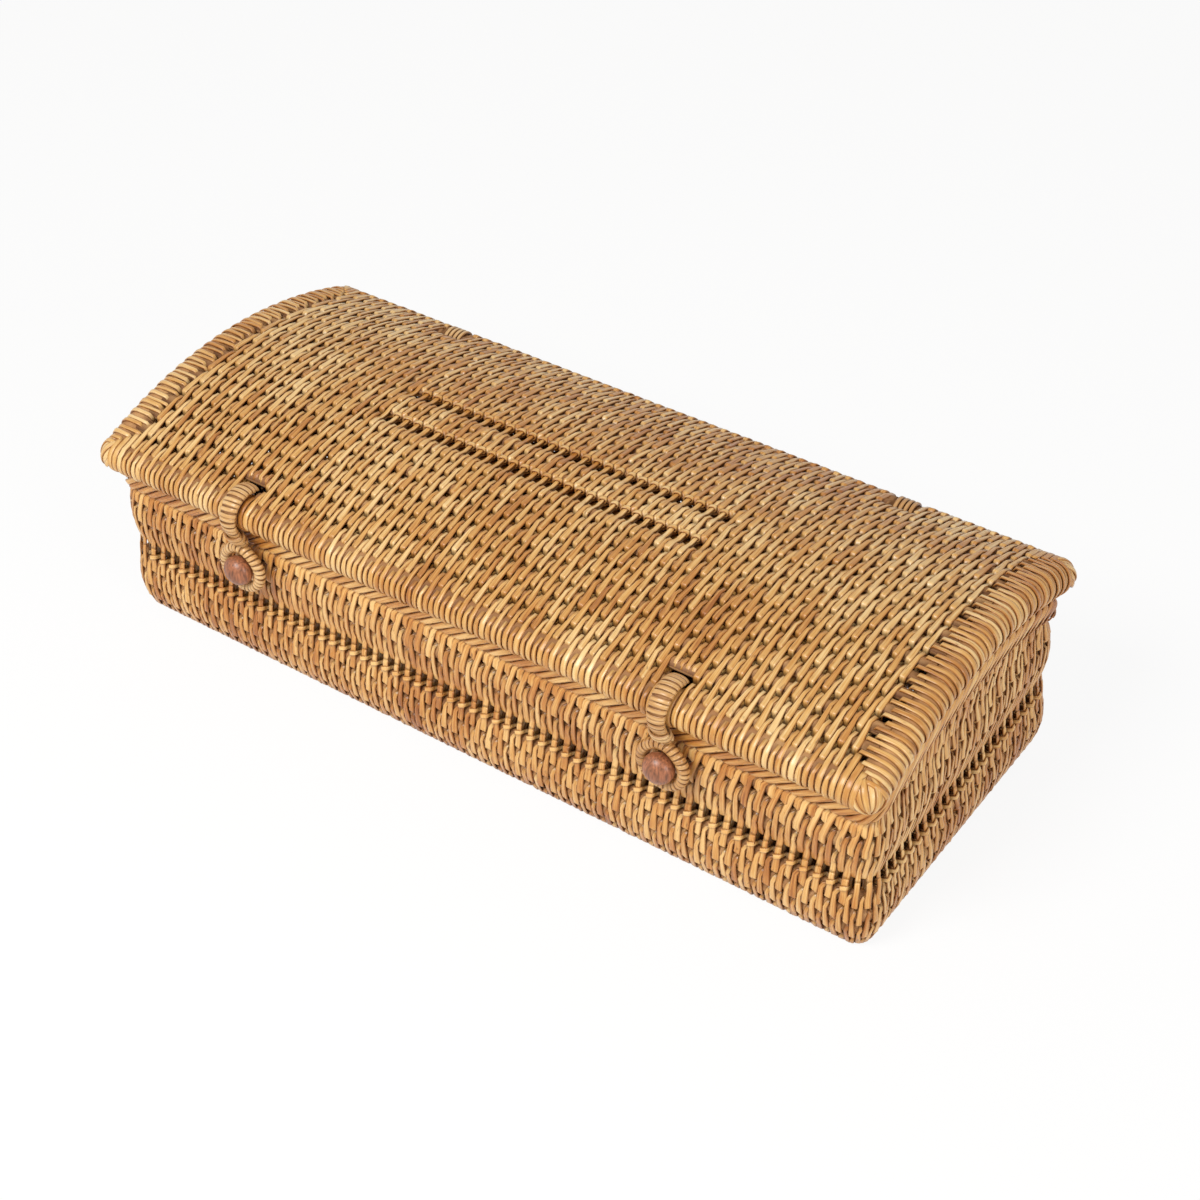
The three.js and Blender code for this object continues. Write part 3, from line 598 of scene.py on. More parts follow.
def lid_curve():
    """Points and outward directions of the sheet that the lid's rods lie in, and the distance along it."""
    front = np.radians(ROLL_TURNS)
    y, z = -ARCH_HALF + WRAP_RADIUS * np.cos(front), ROLL_HEIGHT + WRAP_RADIUS * np.sin(front)
    middle = np.arange(-71.5, 71.6, 1.1)
    top = ROLL_HEIGHT + ROLL_RADIUS - ROD_HALF - BULGE
    points = np.column_stack([np.concatenate([y, middle, -y[::-1]]),
                              np.concatenate([z, top + arch(middle), z[::-1]])])
    tangent = unit(np.gradient(points, axis=0))
    return points, joined(-tangent[:, 1], tangent[:, 0]), distance_along(points)


LID_POINTS, LID_OUT, LID_GONE = lid_curve()
LID_MIDDLE = slice(len(ROLL_TURNS), len(LID_POINTS) - len(ROLL_TURNS))

# Rods of the lid: evenly spread at its ends, parted for the two open rows in its middle
EVEN_RODS = (np.arange(18) - 8.5) * 8.226
HALF_RODS = 15.675 + 7.7464 * np.arange(8)
PARTED_RODS = np.concatenate([-HALF_RODS[::-1], [-3.875, 3.875], HALF_RODS])
LID_ROD_HALF, LID_ROD_END = 2.85, 179.0
LID_COLUMNS, LID_PITCH = 126, 2.75
# Turns down from the outer side of a long roll where its cane is placed, and the one where a strip may dip
ROLL_PLACES, DIP_PLACE = (190, 160, 120, 82, 58, 41, 24, -8), 41
# Half the length that a strap in front and a lashing at the back keeps clear of cane and of the last rod
CLEAR_OF_CANE = {-1: 5.2, 1: 7.2}
CLEAR_OF_ROD = {-1: 4.9, 1: 6.2}
# Where the sheet's upper and lower cane stops short of a strap in front and of a lashing at the back
SLOT_EDGE = {-1: (-63.6, -62.2), 1: (67.6, 65.0)}
HELD_BY = {-1: CLOSURES, 1: LASHINGS}


def gone_at_y(y):
    """Distance along the lid's curve where the barrel passes a place across the box."""
    return np.interp(y, LID_POINTS[LID_MIDDLE, 0], LID_GONE[LID_MIDDLE])


def gone_at_turn(degrees, side):
    """Distance along the lid's curve at a turn down from the outer side of the front or back roll."""
    front = np.interp(180 + degrees, ROLL_TURNS[::-1], LID_GONE[:len(ROLL_TURNS)][::-1])
    return front if side < 0 else LID_GONE[-1] - front


def on_lid(x, gone, offset):
    """Places and outward directions on the lid, a distance off its sheet of rods."""
    y, z, oy, oz = read_off(gone, LID_GONE, np.hstack([LID_POINTS, LID_OUT])).T
    size = np.hypot(oy, oz)
    oy, oz = oy / size, oz / size
    path = joined(x, y + offset * oy, z + offset * oz)
    return path, joined(0 * path[:, 0], oy, oz)


def parting(x):
    """How far the rods are parted for the open rows at a place along the lid."""
    return ease((x - OPEN_START + 9) / 9) * (1 - ease((x - OPEN_END) / 9))


def lid_rods(x):
    """Where the lid's rods are across the box at a place along it."""
    share = parting(x)
    return EVEN_RODS * (1 - share) + PARTED_RODS * share


def in_slot(x, side):
    """True where a strap in front or a lashing at the back takes the cane's place."""
    return any(abs(x - place) < CLEAR_OF_CANE[side] for place in HELD_BY[side].values())


def roll_stations(side, dips, reach):
    """Stations round a long roll from its inner side up, with a dip that leaves a dark lens."""
    return [(gone_at_turn(turn, side), 0.9 if dips and turn == DIP_PLACE else reach, 0.0)
            for turn in ROLL_PLACES]


def open_row_stations(row, odd, over):
    """Stations of a strip across an open row: odd columns run on, even ones are drawn in behind them."""
    if odd:
        return [(gone_at_y(row + step), 0.9 if over else -0.6, -0.3) for step in (-1.6, 1.2)]
    return [(gone_at_y(row), -0.8, 0.8 * LID_PITCH)]


def lid_ends(x, odd, first, middle, reach):
    """Stations of a strip at its front and back end, and those between that are left between two slots."""
    ends = {}
    for side, index in ((-1, -1), (1, len(EVEN_RODS))):
        over = lies_over(index, odd, first)
        ends[side] = [(gone_at_turn(-38, side), reach if over else -reach, 0.0)]
        if over:
            ends[side] = roll_stations(side, odd, reach) + ends[side]
        if in_slot(x, side):
            middle = middle[1:] if side < 0 else middle[:-1]
            if middle[0 if side < 0 else -1][1] > 0:
                stop = (gone_at_y(SLOT_EDGE[side][0]), 0.9 if side < 0 else 0.3, 0.0)
            else:
                stop = (gone_at_y(SLOT_EDGE[side][1]), -reach, 0.0)
            ends[side] = [stop]
    return ends[-1], middle, ends[1][::-1]


def lid_column(weave, x, odd, size):
    """The two strips of a column, from the front roll over and under the rods to the back roll."""
    reach = size.rod + size.thickness / 2
    places = gone_at_y(lid_rods(x))
    for first in (True, False):
        middle = []
        for i, place in enumerate(places):
            offset = reach if lies_over(i, odd, first) else -reach
            middle.append((place, offset * rng.uniform(0.93, 1.0), rng.normal(0, 0.26)))
            # The open rows lie on either side of the middle pair of rods
            if parting(x) > 0.6 and i in (7, 9):
                middle += open_row_stations(OPEN_ROW * (i - 8), odd, offset > 0)
        stations = sum(lid_ends(x, odd, first, middle, reach), [])
        gone, offset, sway, width, shade = weaving(stations[::-1], reach)
        path, out = on_lid(x + sway, gone, offset)
        lay_strip(weave, path, out, width, shade, size)
    if in_slot(x, -1):
        roll_ring(weave, x, size)


def roll_ring(weave, x, size):
    """Cane that goes round the front roll only, under a strap, where the sheet leaves a slot."""
    turn = -np.radians(np.arange(0, 360, 15))
    around = joined(0.0, np.cos(turn), np.sin(turn))
    path = np.array([x, -ARCH_HALF, ROLL_HEIGHT]) + (ROLL_RADIUS - 0.36) * around
    weave.strip(path, around, size.width, size.thickness, rng.uniform(), closed=True)


def gathering_knots(weave):
    """Small cane knots round the strips that cross the open rows, and a strand under each row, darkened with
    painted shade.
    """
    turn = np.radians(np.arange(0, 360, 20)) + 0.3
    for x in LID_PITCH * (2 * np.arange(-15, 14) + 0.5):
        if parting(x) < 0.9:
            continue
        for row in (-OPEN_ROW, OPEN_ROW):
            path, out = on_lid(x, gone_at_y(row + 2.5) + 0.6 * np.cos(turn), 1.4 * np.sin(turn) + 1.0)
            path[:, 0] += -0.2 + (1.7 + rng.normal(0, 0.12)) * np.cos(turn)
            away = out * np.sin(turn)[:, None] + np.outer(np.cos(turn), AXIS_X)
            weave.strip(path, away, 1.9, 0.5, rng.uniform(0.4, 1), closed=True)
    # Strands under the open rows, darkened with painted shade so the rows' holes look shadowed
    runs = np.arange(OPEN_START - 2, OPEN_END + 3, 3.0)
    for row in (-OPEN_ROW, OPEN_ROW):
        path, out = on_lid(runs, np.full(len(runs), gone_at_y(row)), STRAND_OFFSET)
        weave.strip(path, out, 8.0, 0.4, 0.1, shade=0.5)


def rod_stretches(index, last):
    """Stretches of a lid rod; the outermost ones stop at the slots of the straps or lashings."""
    stops = [-LID_ROD_END, LID_ROD_END]
    if index in (0, last):
        side = -1 if index == 0 else 1
        stops += [place + end * CLEAR_OF_ROD[side] for place in HELD_BY[side].values() for end in (-1, 1)]
    stops.sort()
    return zip(stops[::2], stops[1::2])


def weave_lid(size):
    """The barrel sheet with its rods; its strips also wrap the long rolls."""
    quarters, rods, knots = [Weave() for _ in range(4)], Weave(), Weave()
    for k in range(LID_COLUMNS):
        x = (k - (LID_COLUMNS - 1) / 2) * LID_PITCH
        lid_column(quarters[4 * k // LID_COLUMNS], x, k % 2, size)
    gathering_knots(knots)
    for side in (-1, 1):
        for n, x in enumerate((174.6, 177.4, 180.1)):
            mitre_column(quarters[0], -x, side, n % 2, size)
            mitre_column(quarters[-1], x, side, n % 2, size)
    xs = np.concatenate([[-LID_ROD_END, -120], np.arange(-96, 84, 2.0), [120, LID_ROD_END]])
    tracks = gone_at_y(np.array([lid_rods(x) for x in xs]).T)
    for i, track in enumerate(tracks):
        for start, end in rod_stretches(i, len(tracks) - 1):
            runs = np.unique(np.clip(xs, start, end))
            path, out = on_lid(runs, np.interp(runs, xs, track), 0.0)
            rods.rod(path, out, LID_ROD_HALF, rng.uniform(), sides=12, flat=size.rod / LID_ROD_HALF)
    for n, quarter in enumerate(quarters):
        make_piece(f"lid_cane_{n + 1}", quarter, "lid", "lid", "lid_cane", *["lid_panel"] * (n == 0))
    make_piece("lid_knots", knots, "lid", "lid", "lid_cane")
    make_piece("lid_rods", rods, "rod", "lid", "lid_cane")


# The lid's edge rolls


# Radius of the cane round an end roll, and of the cores inside, which are thinner under the lashings
WRAP, CORE, LASHED_CORE = 7.1, 6.6, 5.9
MITRE = ROLL_END - ROLL_RADIUS
SHEET_EDGE = ARCH_HALF - ROLL_RADIUS
# How far apart the strips round an end roll are, and where along the box they start by turns
END_PITCH, END_STARTS = 2.9, (174.8, 172.4)
# How deep every second strip lies under its neighbours, and how much deeper it dips on the outer side
LAYER, END_DIP = 0.45, 1.3
# The corner's strips spread from a point tilted inward from its top, and are this far apart
FAN_TILT = math.radians(42)
FAN_SPINS = np.radians((-62, -42, -21, 0, 21, 42, 62))


def mitre_column(weave, x, side, dips, size):
    """A strip round a long roll that stops on the mitre of the corner."""
    reach = size.rod + size.thickness / 2
    stop = side * (SHEET_EDGE + abs(x) - MITRE + 0.5)
    stations = roll_stations(side, dips, reach) + [(gone_at_y(stop), reach, 0.0)]
    gone, offset, sway = through(stations if side < 0 else stations[::-1]).T
    path, out = on_lid(x + sway, gone, offset)
    weave.strip(path, out, size.width * 1.08, size.thickness, rng.uniform())


def roll_cores():
    """The long rolls inside the wrapping, with round ends; the lashings sink into the back one."""
    taper = np.radians(np.arange(0, 86, 17))
    steps = [place + step for place in LASHINGS.values() for step in (-5.9, -5.8, 5.8, 5.9)]
    x = np.concatenate([-ROLL_END - CORE * np.sin(taper[::-1]), steps, ROLL_END + CORE * np.sin(taper)])
    for side, name, lashed in ((-1, "lid_front_roll", CORE), (1, "lid_back_roll", LASHED_CORE)):
        core = Weave()
        band = [CORE, lashed, lashed, CORE] * len(LASHINGS)
        radius = np.concatenate([CORE * np.cos(taper[::-1]), band, CORE * np.cos(taper)])
        core.rod(joined(x, side * ARCH_HALF, ROLL_HEIGHT), AXIS_Z, radius, 0.4, sides=16)
        make_piece(f"{name}_core", core, "rod", "lid", "lid_cane", name)


def end_wrap(weave, side, y, start, dips, size):
    """A strip that comes up at the sheet's end, runs out over the end roll and goes round it."""
    slope = -2 * ARCH_RISE * y / ARCH_HALF ** 2
    up = unit(np.array([0, -slope, 1]))
    middle = np.array([side * ROLL_END, y, ROLL_HEIGHT + float(arch(y))])
    flat = np.array([0, 0.9, 1.8, 4.5, 7.0])
    flat = flat[flat < ROLL_END - start - 0.5]
    sink = 3.0 * (1 - ease(flat / 1.8))
    degrees = np.arange(90, -171, -10)
    turn = np.radians(degrees)
    way = np.outer(np.cos(turn), side * AXIS_X) + np.outer(np.sin(turn), up)
    depth = dips * (LAYER + END_DIP * bell(degrees, -40, 14))
    path = np.concatenate([np.outer(start + flat - ROLL_END, side * AXIS_X) + np.outer(WRAP - sink, up),
                           (WRAP - depth)[:, None] * way]) + middle
    out = np.concatenate([np.tile(up, (len(flat), 1)), way])
    # Each strip leans its own way and is narrower where it starts
    share = np.linspace(0, 1, len(path))
    path += np.outer(rng.normal(0.6, 0.9) * (share - 0.5), (0, 1, slope))
    width = size.width * (0.78 + 0.26 * ease(share * 2.2)) * (0.92 if dips else 1.12)
    width *= rng.uniform(0.86, 1.06)
    # Painted shade darkens each strip where it starts, sunk under its neighbours
    shade = np.append(sink / 3, np.zeros(len(turn)))
    tone, tilt = rng.uniform(), rng.uniform(-0.15, 0.15)
    weave.strip(path, out, width, size.thickness, tone, tilt=tilt, shade=shade)


def corner_fan(weave, side_x, side_y, size):
    """Strips that fan round the outer corner of two rolls."""
    middle = np.array([side_x * ROLL_END, side_y * ARCH_HALF, ROLL_HEIGHT])
    rise = np.radians(np.arange(84, -85, -8))
    outward = np.array([side_x, side_y, 0]) * math.sqrt(0.5)
    aside = np.array([-side_x, side_y, 0]) * math.sqrt(0.5)
    pole = math.cos(FAN_TILT) * AXIS_Z - math.sin(FAN_TILT) * outward
    front = math.cos(FAN_TILT) * outward + math.sin(FAN_TILT) * AXIS_Z
    for n, spin in enumerate(FAN_SPINS):
        ahead = math.cos(spin) * front + math.sin(spin) * aside
        way = np.outer(np.cos(rise), ahead) + np.outer(np.sin(rise), pole)
        width = 2.75 * np.maximum(np.cos(rise), 0.25) ** 0.7 * rng.uniform(0.9, 1.1)
        tone, tilt = rng.uniform(), rng.uniform(-0.15, 0.15)
        weave.strip(middle + (WRAP - 0.5 * (n % 2)) * way, way, width, size.thickness, tone, tilt=tilt)


def wrap_ends(size):
    """The two arched end rolls with their wrapping and corners."""
    y = np.linspace(-ARCH_HALF, ARCH_HALF, 49)
    length = distance_along(np.column_stack([y, arch(y)]))
    count = round(length[-1] / END_PITCH)
    places = np.interp((np.arange(count) + 0.5) * length[-1] / count, length, y)
    for side, name in ((-1, "lid_left_roll"), (1, "lid_right_roll")):
        cane, core = Weave(), Weave()
        for n, place in enumerate(places):
            start = END_STARTS[n % 2] + rng.uniform(-0.7, 0.7)
            if abs(place) > SHEET_EDGE:
                start = MITRE + abs(place) - SHEET_EDGE + 0.4
            end_wrap(cane, side, place, start, n % 2, size)
        corner_fan(cane, side, -1, size)
        corner_fan(cane, side, 1, size)
        core.rod(joined(side * ROLL_END, y, ROLL_HEIGHT + arch(y)), AXIS_X, CORE, 0.35, sides=16)
        dress(name, "lid", "lid", "lid_cane", cane=cane, core=core)


# The closures and lashings


# Thickness of the fine wrapping, and the gap between two of its turns
WRAP_THICKNESS, WRAP_GAP = 0.52, 0.1


def neck_line(run):
    """Middle of the strap at a run below the place where it leaves the roll, as y and z."""
    y = -ARCH_HALF + STRAP_MIDDLE * math.cos(STRAP_LEAVE) - run * math.sin(STRAP_LEAVE)
    z = ROLL_HEIGHT + STRAP_MIDDLE * math.sin(STRAP_LEAVE) + run * math.cos(STRAP_LEAVE)
    return y, z


def strap(name, place, size):
    """Core rods of the strap with fine cane wound closely round them, down into the point of the ring."""
    turns = np.linspace(STRAP_TAIL, STRAP_LEAVE, 22)
    around = joined(0.0, np.cos(turns), np.sin(turns))
    neck = [(place, *neck_line(run)) for run in np.linspace(0, STRAP_DROP + 2.2, 9)[1:]]
    path = np.concatenate([(place, -ARCH_HALF, ROLL_HEIGHT) + STRAP_MIDDLE * around, neck])
    out = np.concatenate([around, [around[-1]] * len(neck)])
    # It narrows from the roll to the ring
    share = np.clip((np.arange(len(path)) - 10) / (len(path) - 11), 0, 1)
    half_wide = 4.3 - 0.7 * share
    turns = distance_along(path)[-1] / (size.wrap + WRAP_GAP)
    core, cane = Weave(), Weave()
    core.rod(path, out, half_wide - 0.5, 0.3, flat=0.36, sides=12)
    wrap(cane, path, AXIS_X, out, half_wide - 0.26, 1.72, size.wrap, WRAP_THICKNESS, turns)
    dress(f"{name}_loop_strap", "wrap", f"{name}_loop", "wrapped_cane", wrap=cane, core=core)


def ring(name, place, size):
    """The pointed ring, wound with fine cane, that hooks over the knob."""
    meet = math.asin(RING_RADIUS / RING_POINT)
    turn = np.linspace(meet, -math.pi - meet, 44)
    x, z = RING_RADIUS * np.cos(turn), RING_RADIUS * np.sin(turn)
    t = np.linspace(0, 1, 12)[1:-1]
    back_x = (1 - t) ** 2 * x[-1] + t ** 2 * x[0]
    back_z = (1 - t) ** 2 * z[-1] + 2 * t * (1 - t) * RING_POINT + t ** 2 * z[0]
    x, z = np.concatenate([x, back_x, x[:1]]), np.concatenate([z, back_z, z[:1]])
    path = joined(place + x, neck_line(STRAP_DROP)[0], KNOB_HEIGHT + z)
    tangent = np.roll(path[:-1], -1, 0) - np.roll(path[:-1], 1, 0)
    tangent = unit(np.concatenate([tangent, tangent[:1]]))
    thick_way = np.tile([0, -1.0, 0], (len(path), 1))
    turns = round(distance_along(path)[-1] / (size.wrap + WRAP_GAP))
    core, cane = Weave(), Weave()
    core.rod(path[:-1], thick_way[:-1], 1.85, 0.3, closed=True)
    wrap(cane, path, np.cross(tangent, thick_way), thick_way, 2.13, 2.13, size.wrap, WRAP_THICKNESS, turns)
    dress(f"{name}_loop_ring", "wrap", f"{name}_loop", "wrapped_cane", wrap=cane, core=core)


def neck_binding(name, place):
    """Two turns of wider cane that bind the ring to the strap."""
    path = np.array([(place, *neck_line(run)) for run in STRAP_DROP - np.linspace(5.5, 0.9, 12)])
    out = np.array([0, math.cos(STRAP_LEAVE), math.sin(STRAP_LEAVE)])
    cane = Weave()
    wrap(cane, path, AXIS_X, out, 4.3, 2.9, 2.2, 0.95, 2)
    solid = f"{name}_loop_binding"
    make_piece(f"{solid}_cane", cane, "wrap", f"{name}_loop", "wrapped_cane", solid)


def knob(name, place):
    """Turned knob: a thin shank and a full, bun-shaped head in front of the ring."""
    shank = [(0.02, 70.5), (1.8, 70.5), (1.8, 77.4), (2.4, 78.1)]
    dome = np.radians(np.arange(-41, 91, 8.1875))
    head = np.column_stack([KNOB_RADIUS * np.cos(dome), KNOB_WIDEST + KNOB_DOME * np.sin(dome)])
    radius, out = np.concatenate([shank, head]).T
    turn = 2 * np.pi * np.arange(36) / 36
    x, z = (np.outer(np.maximum(radius, 0.02), way) for way in (np.cos(turn), np.sin(turn)))
    wood = Weave()
    wood.skin(joined(place + x, -out[:, None], KNOB_HEIGHT + z), out, np.cos(turn), 0.5)
    make_piece(f"{name}_knob_wood", wood, "knob", "base", "knob_wood", f"{name}_knob")


def lashing(name, place):
    """Four turns of cane round the back roll and the rim, which let the lid swing."""
    over, tilt, bend = 7.0, math.radians(12), 1.2
    inner, outer, bottom, neck = 65.4, 74.4, 64.2, 76.0
    turns, half_band = 4, 4.6

    def arc(y, z, radius, start, end, steps):
        turns = np.linspace(start, end, steps)
        return [(y + radius * math.cos(t), z + radius * math.sin(t)) for t in turns]

    loop = [((inner + outer) / 2, bottom)]
    loop += arc(outer - bend, bottom + bend, bend, -math.pi / 2, 0, 4)
    loop += arc(ARCH_HALF, ROLL_HEIGHT, over, -tilt, math.pi + tilt, 24)
    loop += [(inner, neck)]
    loop += arc(inner + bend, bottom + bend, bend, math.pi, 1.5 * math.pi, 4)
    around = np.array(loop * turns + loop[:1])
    x = place + np.linspace(-half_band, half_band, len(around))
    path = np.column_stack([x, around])
    tangent = np.gradient(path, axis=0)
    cane = Weave()
    cane.strip(path, joined(0.0, tangent[:, 2], -tangent[:, 1]), 1.85, 1.1, rng.uniform())
    make_piece(f"hinge_lashing_{name}_cane", cane, "wrap", "base", "wrapped_cane", f"hinge_lashing_{name}")


# Materials


def linear(code):
    """Linear colour of an sRGB hex value."""
    parts = [int(code[i:i + 2], 16) / 255 for i in (1, 3, 5)]
    return tuple(c / 12.92 if c <= 0.04045 else ((c + 0.055) / 1.055) ** 2.4 for c in parts)


def opaque(code):
    """Linear colour of an sRGB hex value, with an alpha of 1."""
    return (*linear(code), 1)


def feed(tree, node, values):
    """Sets a node's inputs to values or links them to sockets."""
    for key, value in dict(values).items():
        if isinstance(value, bpy.types.NodeSocket):
            tree.links.new(value, node.inputs[key])
        else:
            node.inputs[key].default_value = value


def add_node(tree, kind, settings=(), inputs=()):
    """Adds a node with its settings, and its inputs' values or links."""
    made = tree.nodes.new(kind)
    for key, value in dict(settings).items():
        setattr(made, key, value)
    feed(tree, made, inputs)
    return made


def maths(tree, operation, *values):
    """The result of one sum on sockets and numbers."""
    return add_node(tree, "ShaderNodeMath", {"operation": operation}, enumerate(values)).outputs[0]


def spread(tree, value, low, high, start=0.0, end=1.0):
    """Stretches a range of a value to another."""
    return add_node(tree, "ShaderNodeMapRange", {}, enumerate((value, low, high, start, end))).outputs[0]


def blend_colours(tree, share, first, second):
    """Mixes two colours."""
    inputs = {0: share, 6: first, 7: second}
    return add_node(tree, "ShaderNodeMix", {"data_type": "RGBA"}, inputs).outputs[2]


def noise(tree, vector, scale=1.0, detail=3.0):
    """Soft noise at a vector."""
    inputs = {"Vector": vector, "Scale": scale, "Detail": detail}
    return add_node(tree, "ShaderNodeTexNoise", {}, inputs).outputs[0]


def bump(tree, height, strength, distance):
    """A normal raised by a height, by at most a distance in metres."""
    inputs = {"Height": height, "Strength": strength, "Distance": distance}
    return add_node(tree, "ShaderNodeBump", {}, inputs).outputs[0]


def attribute(tree, name):
    """A number that the mesh holds at each point."""
    return add_node(tree, "ShaderNodeAttribute", {"attribute_name": name}).outputs[2]


def object_place(tree):
    """The place on the object, in metres."""
    return add_node(tree, "ShaderNodeTexCoord").outputs["Object"]


def new_material(name):
    """An empty material: itself, its node tree and its shader."""
    material = bpy.data.materials.new(name)
    material.use_nodes = True
    tree = material.node_tree
    return material, tree, tree.nodes["Principled BSDF"]


# Split rattan cane: the glossy outer skin of the vine, straw to brown, with long fibres and darker nodes.
# Rods are peeled rattan core: matt, browner, and stained darker than the cane that crosses them.
FINISHES = {
    "lid": ("Rattan cane, lid weave", "lid_cane", ("#94561f", "#bd813c", "#d2a059", "#e8c488")),
    "wall": ("Rattan cane, wall weave", "wall_cane", ("#8c4f1e", "#bd7b36", "#d69f57", "#eabf7c")),
    "rim": ("Rattan cane, plaited rim", "rim_cane", ("#8c4f1e", "#bd7b36", "#d39a50", "#e6b974")),
    "wrap": ("Rattan cane, fine wrapping", "wrapped_cane", ("#8b5a2f", "#bc8a50", "#d2a66c", "#e4c38f")),
    "inner": ("Rattan cane, inner weave", "inner_cane", ("#8a5a30", "#b7834a", "#cd9d62", "#ddb880")),
    "rod": ("Rattan core rods", "rod", ("#6c4124", "#986a3e", "#b07f50", "#c99c66")),
}
SHADE_STOPS = (0.12, 0.38, 0.62, 0.92)
# The deep brown of the painted shade on cane lying deep between the rods, and the colour of the vine's nodes
PAINTED_SHADE_BROWN, VINE_NODE = "#3a1e0e", "#5d3216"


def cane_finish(key):
    """The material of a finish, made the first time that it is asked for."""
    if key == "knob":
        return knob_finish()
    name, colour_key, shades = FINISHES[key]
    if name in bpy.data.materials:
        return bpy.data.materials[name]
    material, tree, shader = new_material(name)
    chosen = tuple(getattr(bpy.context.scene.tea_box_colours, colour_key))
    tint = [c / s for c, s in zip(chosen, linear(shades[2]))]
    chart = add_node(tree, "ShaderNodeUVMap", {"uv_map": "cane"}).outputs[0]
    along, across, _ = add_node(tree, "ShaderNodeSeparateXYZ", {}, {0: chart}).outputs
    tone = attribute(tree, "tone")
    # Fibres about 0.5 mm across and 25 mm long
    fibres = fibre_noise(tree, along, across, tone, 25.0, 2.6)
    # Darker stretches along a strip about 9 mm long, and stains over 40 mm of the whole box
    stretches = fibre_noise(tree, along, across, tone, 9.0, 0.7)
    stains = noise(tree, object_place(tree), 25.0, 2.0)
    share = maths(tree, "MULTIPLY", tone, 0.4)
    for part in (spread(tree, fibres, 0.32, 0.68, 0.0, 0.34), spread(tree, stretches, 0.3, 0.7, 0.0, 0.24),
                 spread(tree, stains, 0.35, 0.65, -0.02, 0.24)):
        share = maths(tree, "ADD", share, part)
    ramp = add_node(tree, "ShaderNodeValToRGB", {}, {0: share})
    stops = ramp.color_ramp.elements
    # A new ramp has two stops, at its ends: the first is taken, the last goes
    for position, shade in zip(SHADE_STOPS, shades):
        stop = stops[0] if position == SHADE_STOPS[0] else stops.new(position)
        stop.position = position
        stop.color = (*[min(1, c * t) for c, t in zip(linear(shade), tint)], 1)
    stops.remove(stops[-1])
    # Painted shade: the colour darkens towards a strip's edges, where the gaps between strips lie in shade
    edge = spread(tree, maths(tree, "ABSOLUTE", across), 0.55, 1.0, 0.0, 0.88)
    colour = blend_colours(tree, edge, ramp.outputs[0], opaque(shades[0]))
    # Painted shade: the mesh's shade attribute mixes the colour towards a deep brown where the cane lies deep
    # in the weave
    painted_shade = maths(tree, "MULTIPLY", attribute(tree, "shade"), 0.85)
    colour = blend_colours(tree, painted_shade, colour, opaque(PAINTED_SHADE_BROWN))
    # Nodes of the vine: short dark marks, far apart
    marks = spread(tree, fibre_noise(tree, along, across, tone, 5.0, 0.8, 40.0), 0.66, 0.74, 0.0, 0.6)
    colour = blend_colours(tree, marks, colour, opaque(VINE_NODE))
    rough = 0.75 if key == "rod" else spread(tree, fibres, 0.3, 0.7, 0.42, 0.25)
    normal = bump(tree, fibres, 0.3, 0.00012)
    feed(tree, shader, {"Base Color": colour, "Roughness": rough, "Normal": normal})
    return material


def fibre_noise(tree, along, across, tone, length, fineness, shift=17.0):
    """Noise drawn out along a strip, different on each strip."""
    parts = (maths(tree, "DIVIDE", along, length), maths(tree, "MULTIPLY", across, fineness),
             maths(tree, "MULTIPLY", tone, 97.0 + shift))
    return noise(tree, add_node(tree, "ShaderNodeCombineXYZ", {}, enumerate(parts)).outputs[0])


def knob_finish():
    """Turned hardwood, stained reddish brown and rubbed to a satin sheen, with fine grain across it."""
    name = "Turned hardwood, satin"
    if name in bpy.data.materials:
        return bpy.data.materials[name]
    material, tree, shader = new_material(name)
    base = tuple(bpy.context.scene.tea_box_colours.knob_wood)
    # Grain lines about 0.8 mm apart, drawn out eight times as long
    turned = {"Vector": object_place(tree), "Rotation": (0.3, 0.5, 0.35), "Scale": (1250, 1250, 150)}
    grain = noise(tree, add_node(tree, "ShaderNodeMapping", {}, turned).outputs[0], detail=4.0)
    dark = tuple(0.45 * c for c in base) + (1,)
    light = tuple(min(1, 1.35 * c) for c in base) + (1,)
    colour = blend_colours(tree, spread(tree, grain, 0.32, 0.68), dark, light)
    normal = bump(tree, grain, 0.15, 0.0001)
    feed(tree, shader, {"Base Color": colour, "Roughness": 0.36, "Normal": normal})
    return material


def tie_finish():
    """Flat split cane of the ties inside, whose solids show as they are: dry and even, with long fibres."""
    material, tree, shader = new_material("Rattan cane, ties")
    # Fibres about 0.4 mm apart across the tie's height
    drawn = {"Vector": object_place(tree), "Scale": (60, 2500, 2500)}
    fibres = noise(tree, add_node(tree, "ShaderNodeMapping", {}, drawn).outputs[0])
    colour = blend_colours(tree, spread(tree, fibres, 0.3, 0.7), opaque("#a9743f"), opaque("#d8b07a"))
    feed(tree, shader, {"Base Color": colour, "Roughness": 0.55})
    return material


# Settings that a user would change


def size_property(name, millimetres, note):
    """A length property whose default is given in millimetres."""
    return FloatProperty(
        name=name, description=note, default=millimetres * MM, min=0.0001, unit="LENGTH", precision=5)


def colour_property(name, code, note):
    """A colour property whose default is an sRGB hex value."""
    return FloatVectorProperty(
        name=name, description=note, default=linear(code), min=0, max=1, subtype="COLOR")


class TeaBoxSizes(bpy.types.PropertyGroup):
    """Sizes of the cane and rods."""

    width: size_property("Cane width", 2.5, "Width of the split cane")
    thickness: size_property("Cane thickness", 0.66, "Thickness of the split cane")
    rod: size_property("Rod radius", 2.0, "Radius of the rods that the cane crosses")
    plait: size_property("Plait width", 2.9, "Width of the strips in the plaited rim")
    wrap: size_property("Wrapping width", 1.95, "Width of the fine cane wound round straps and rings")


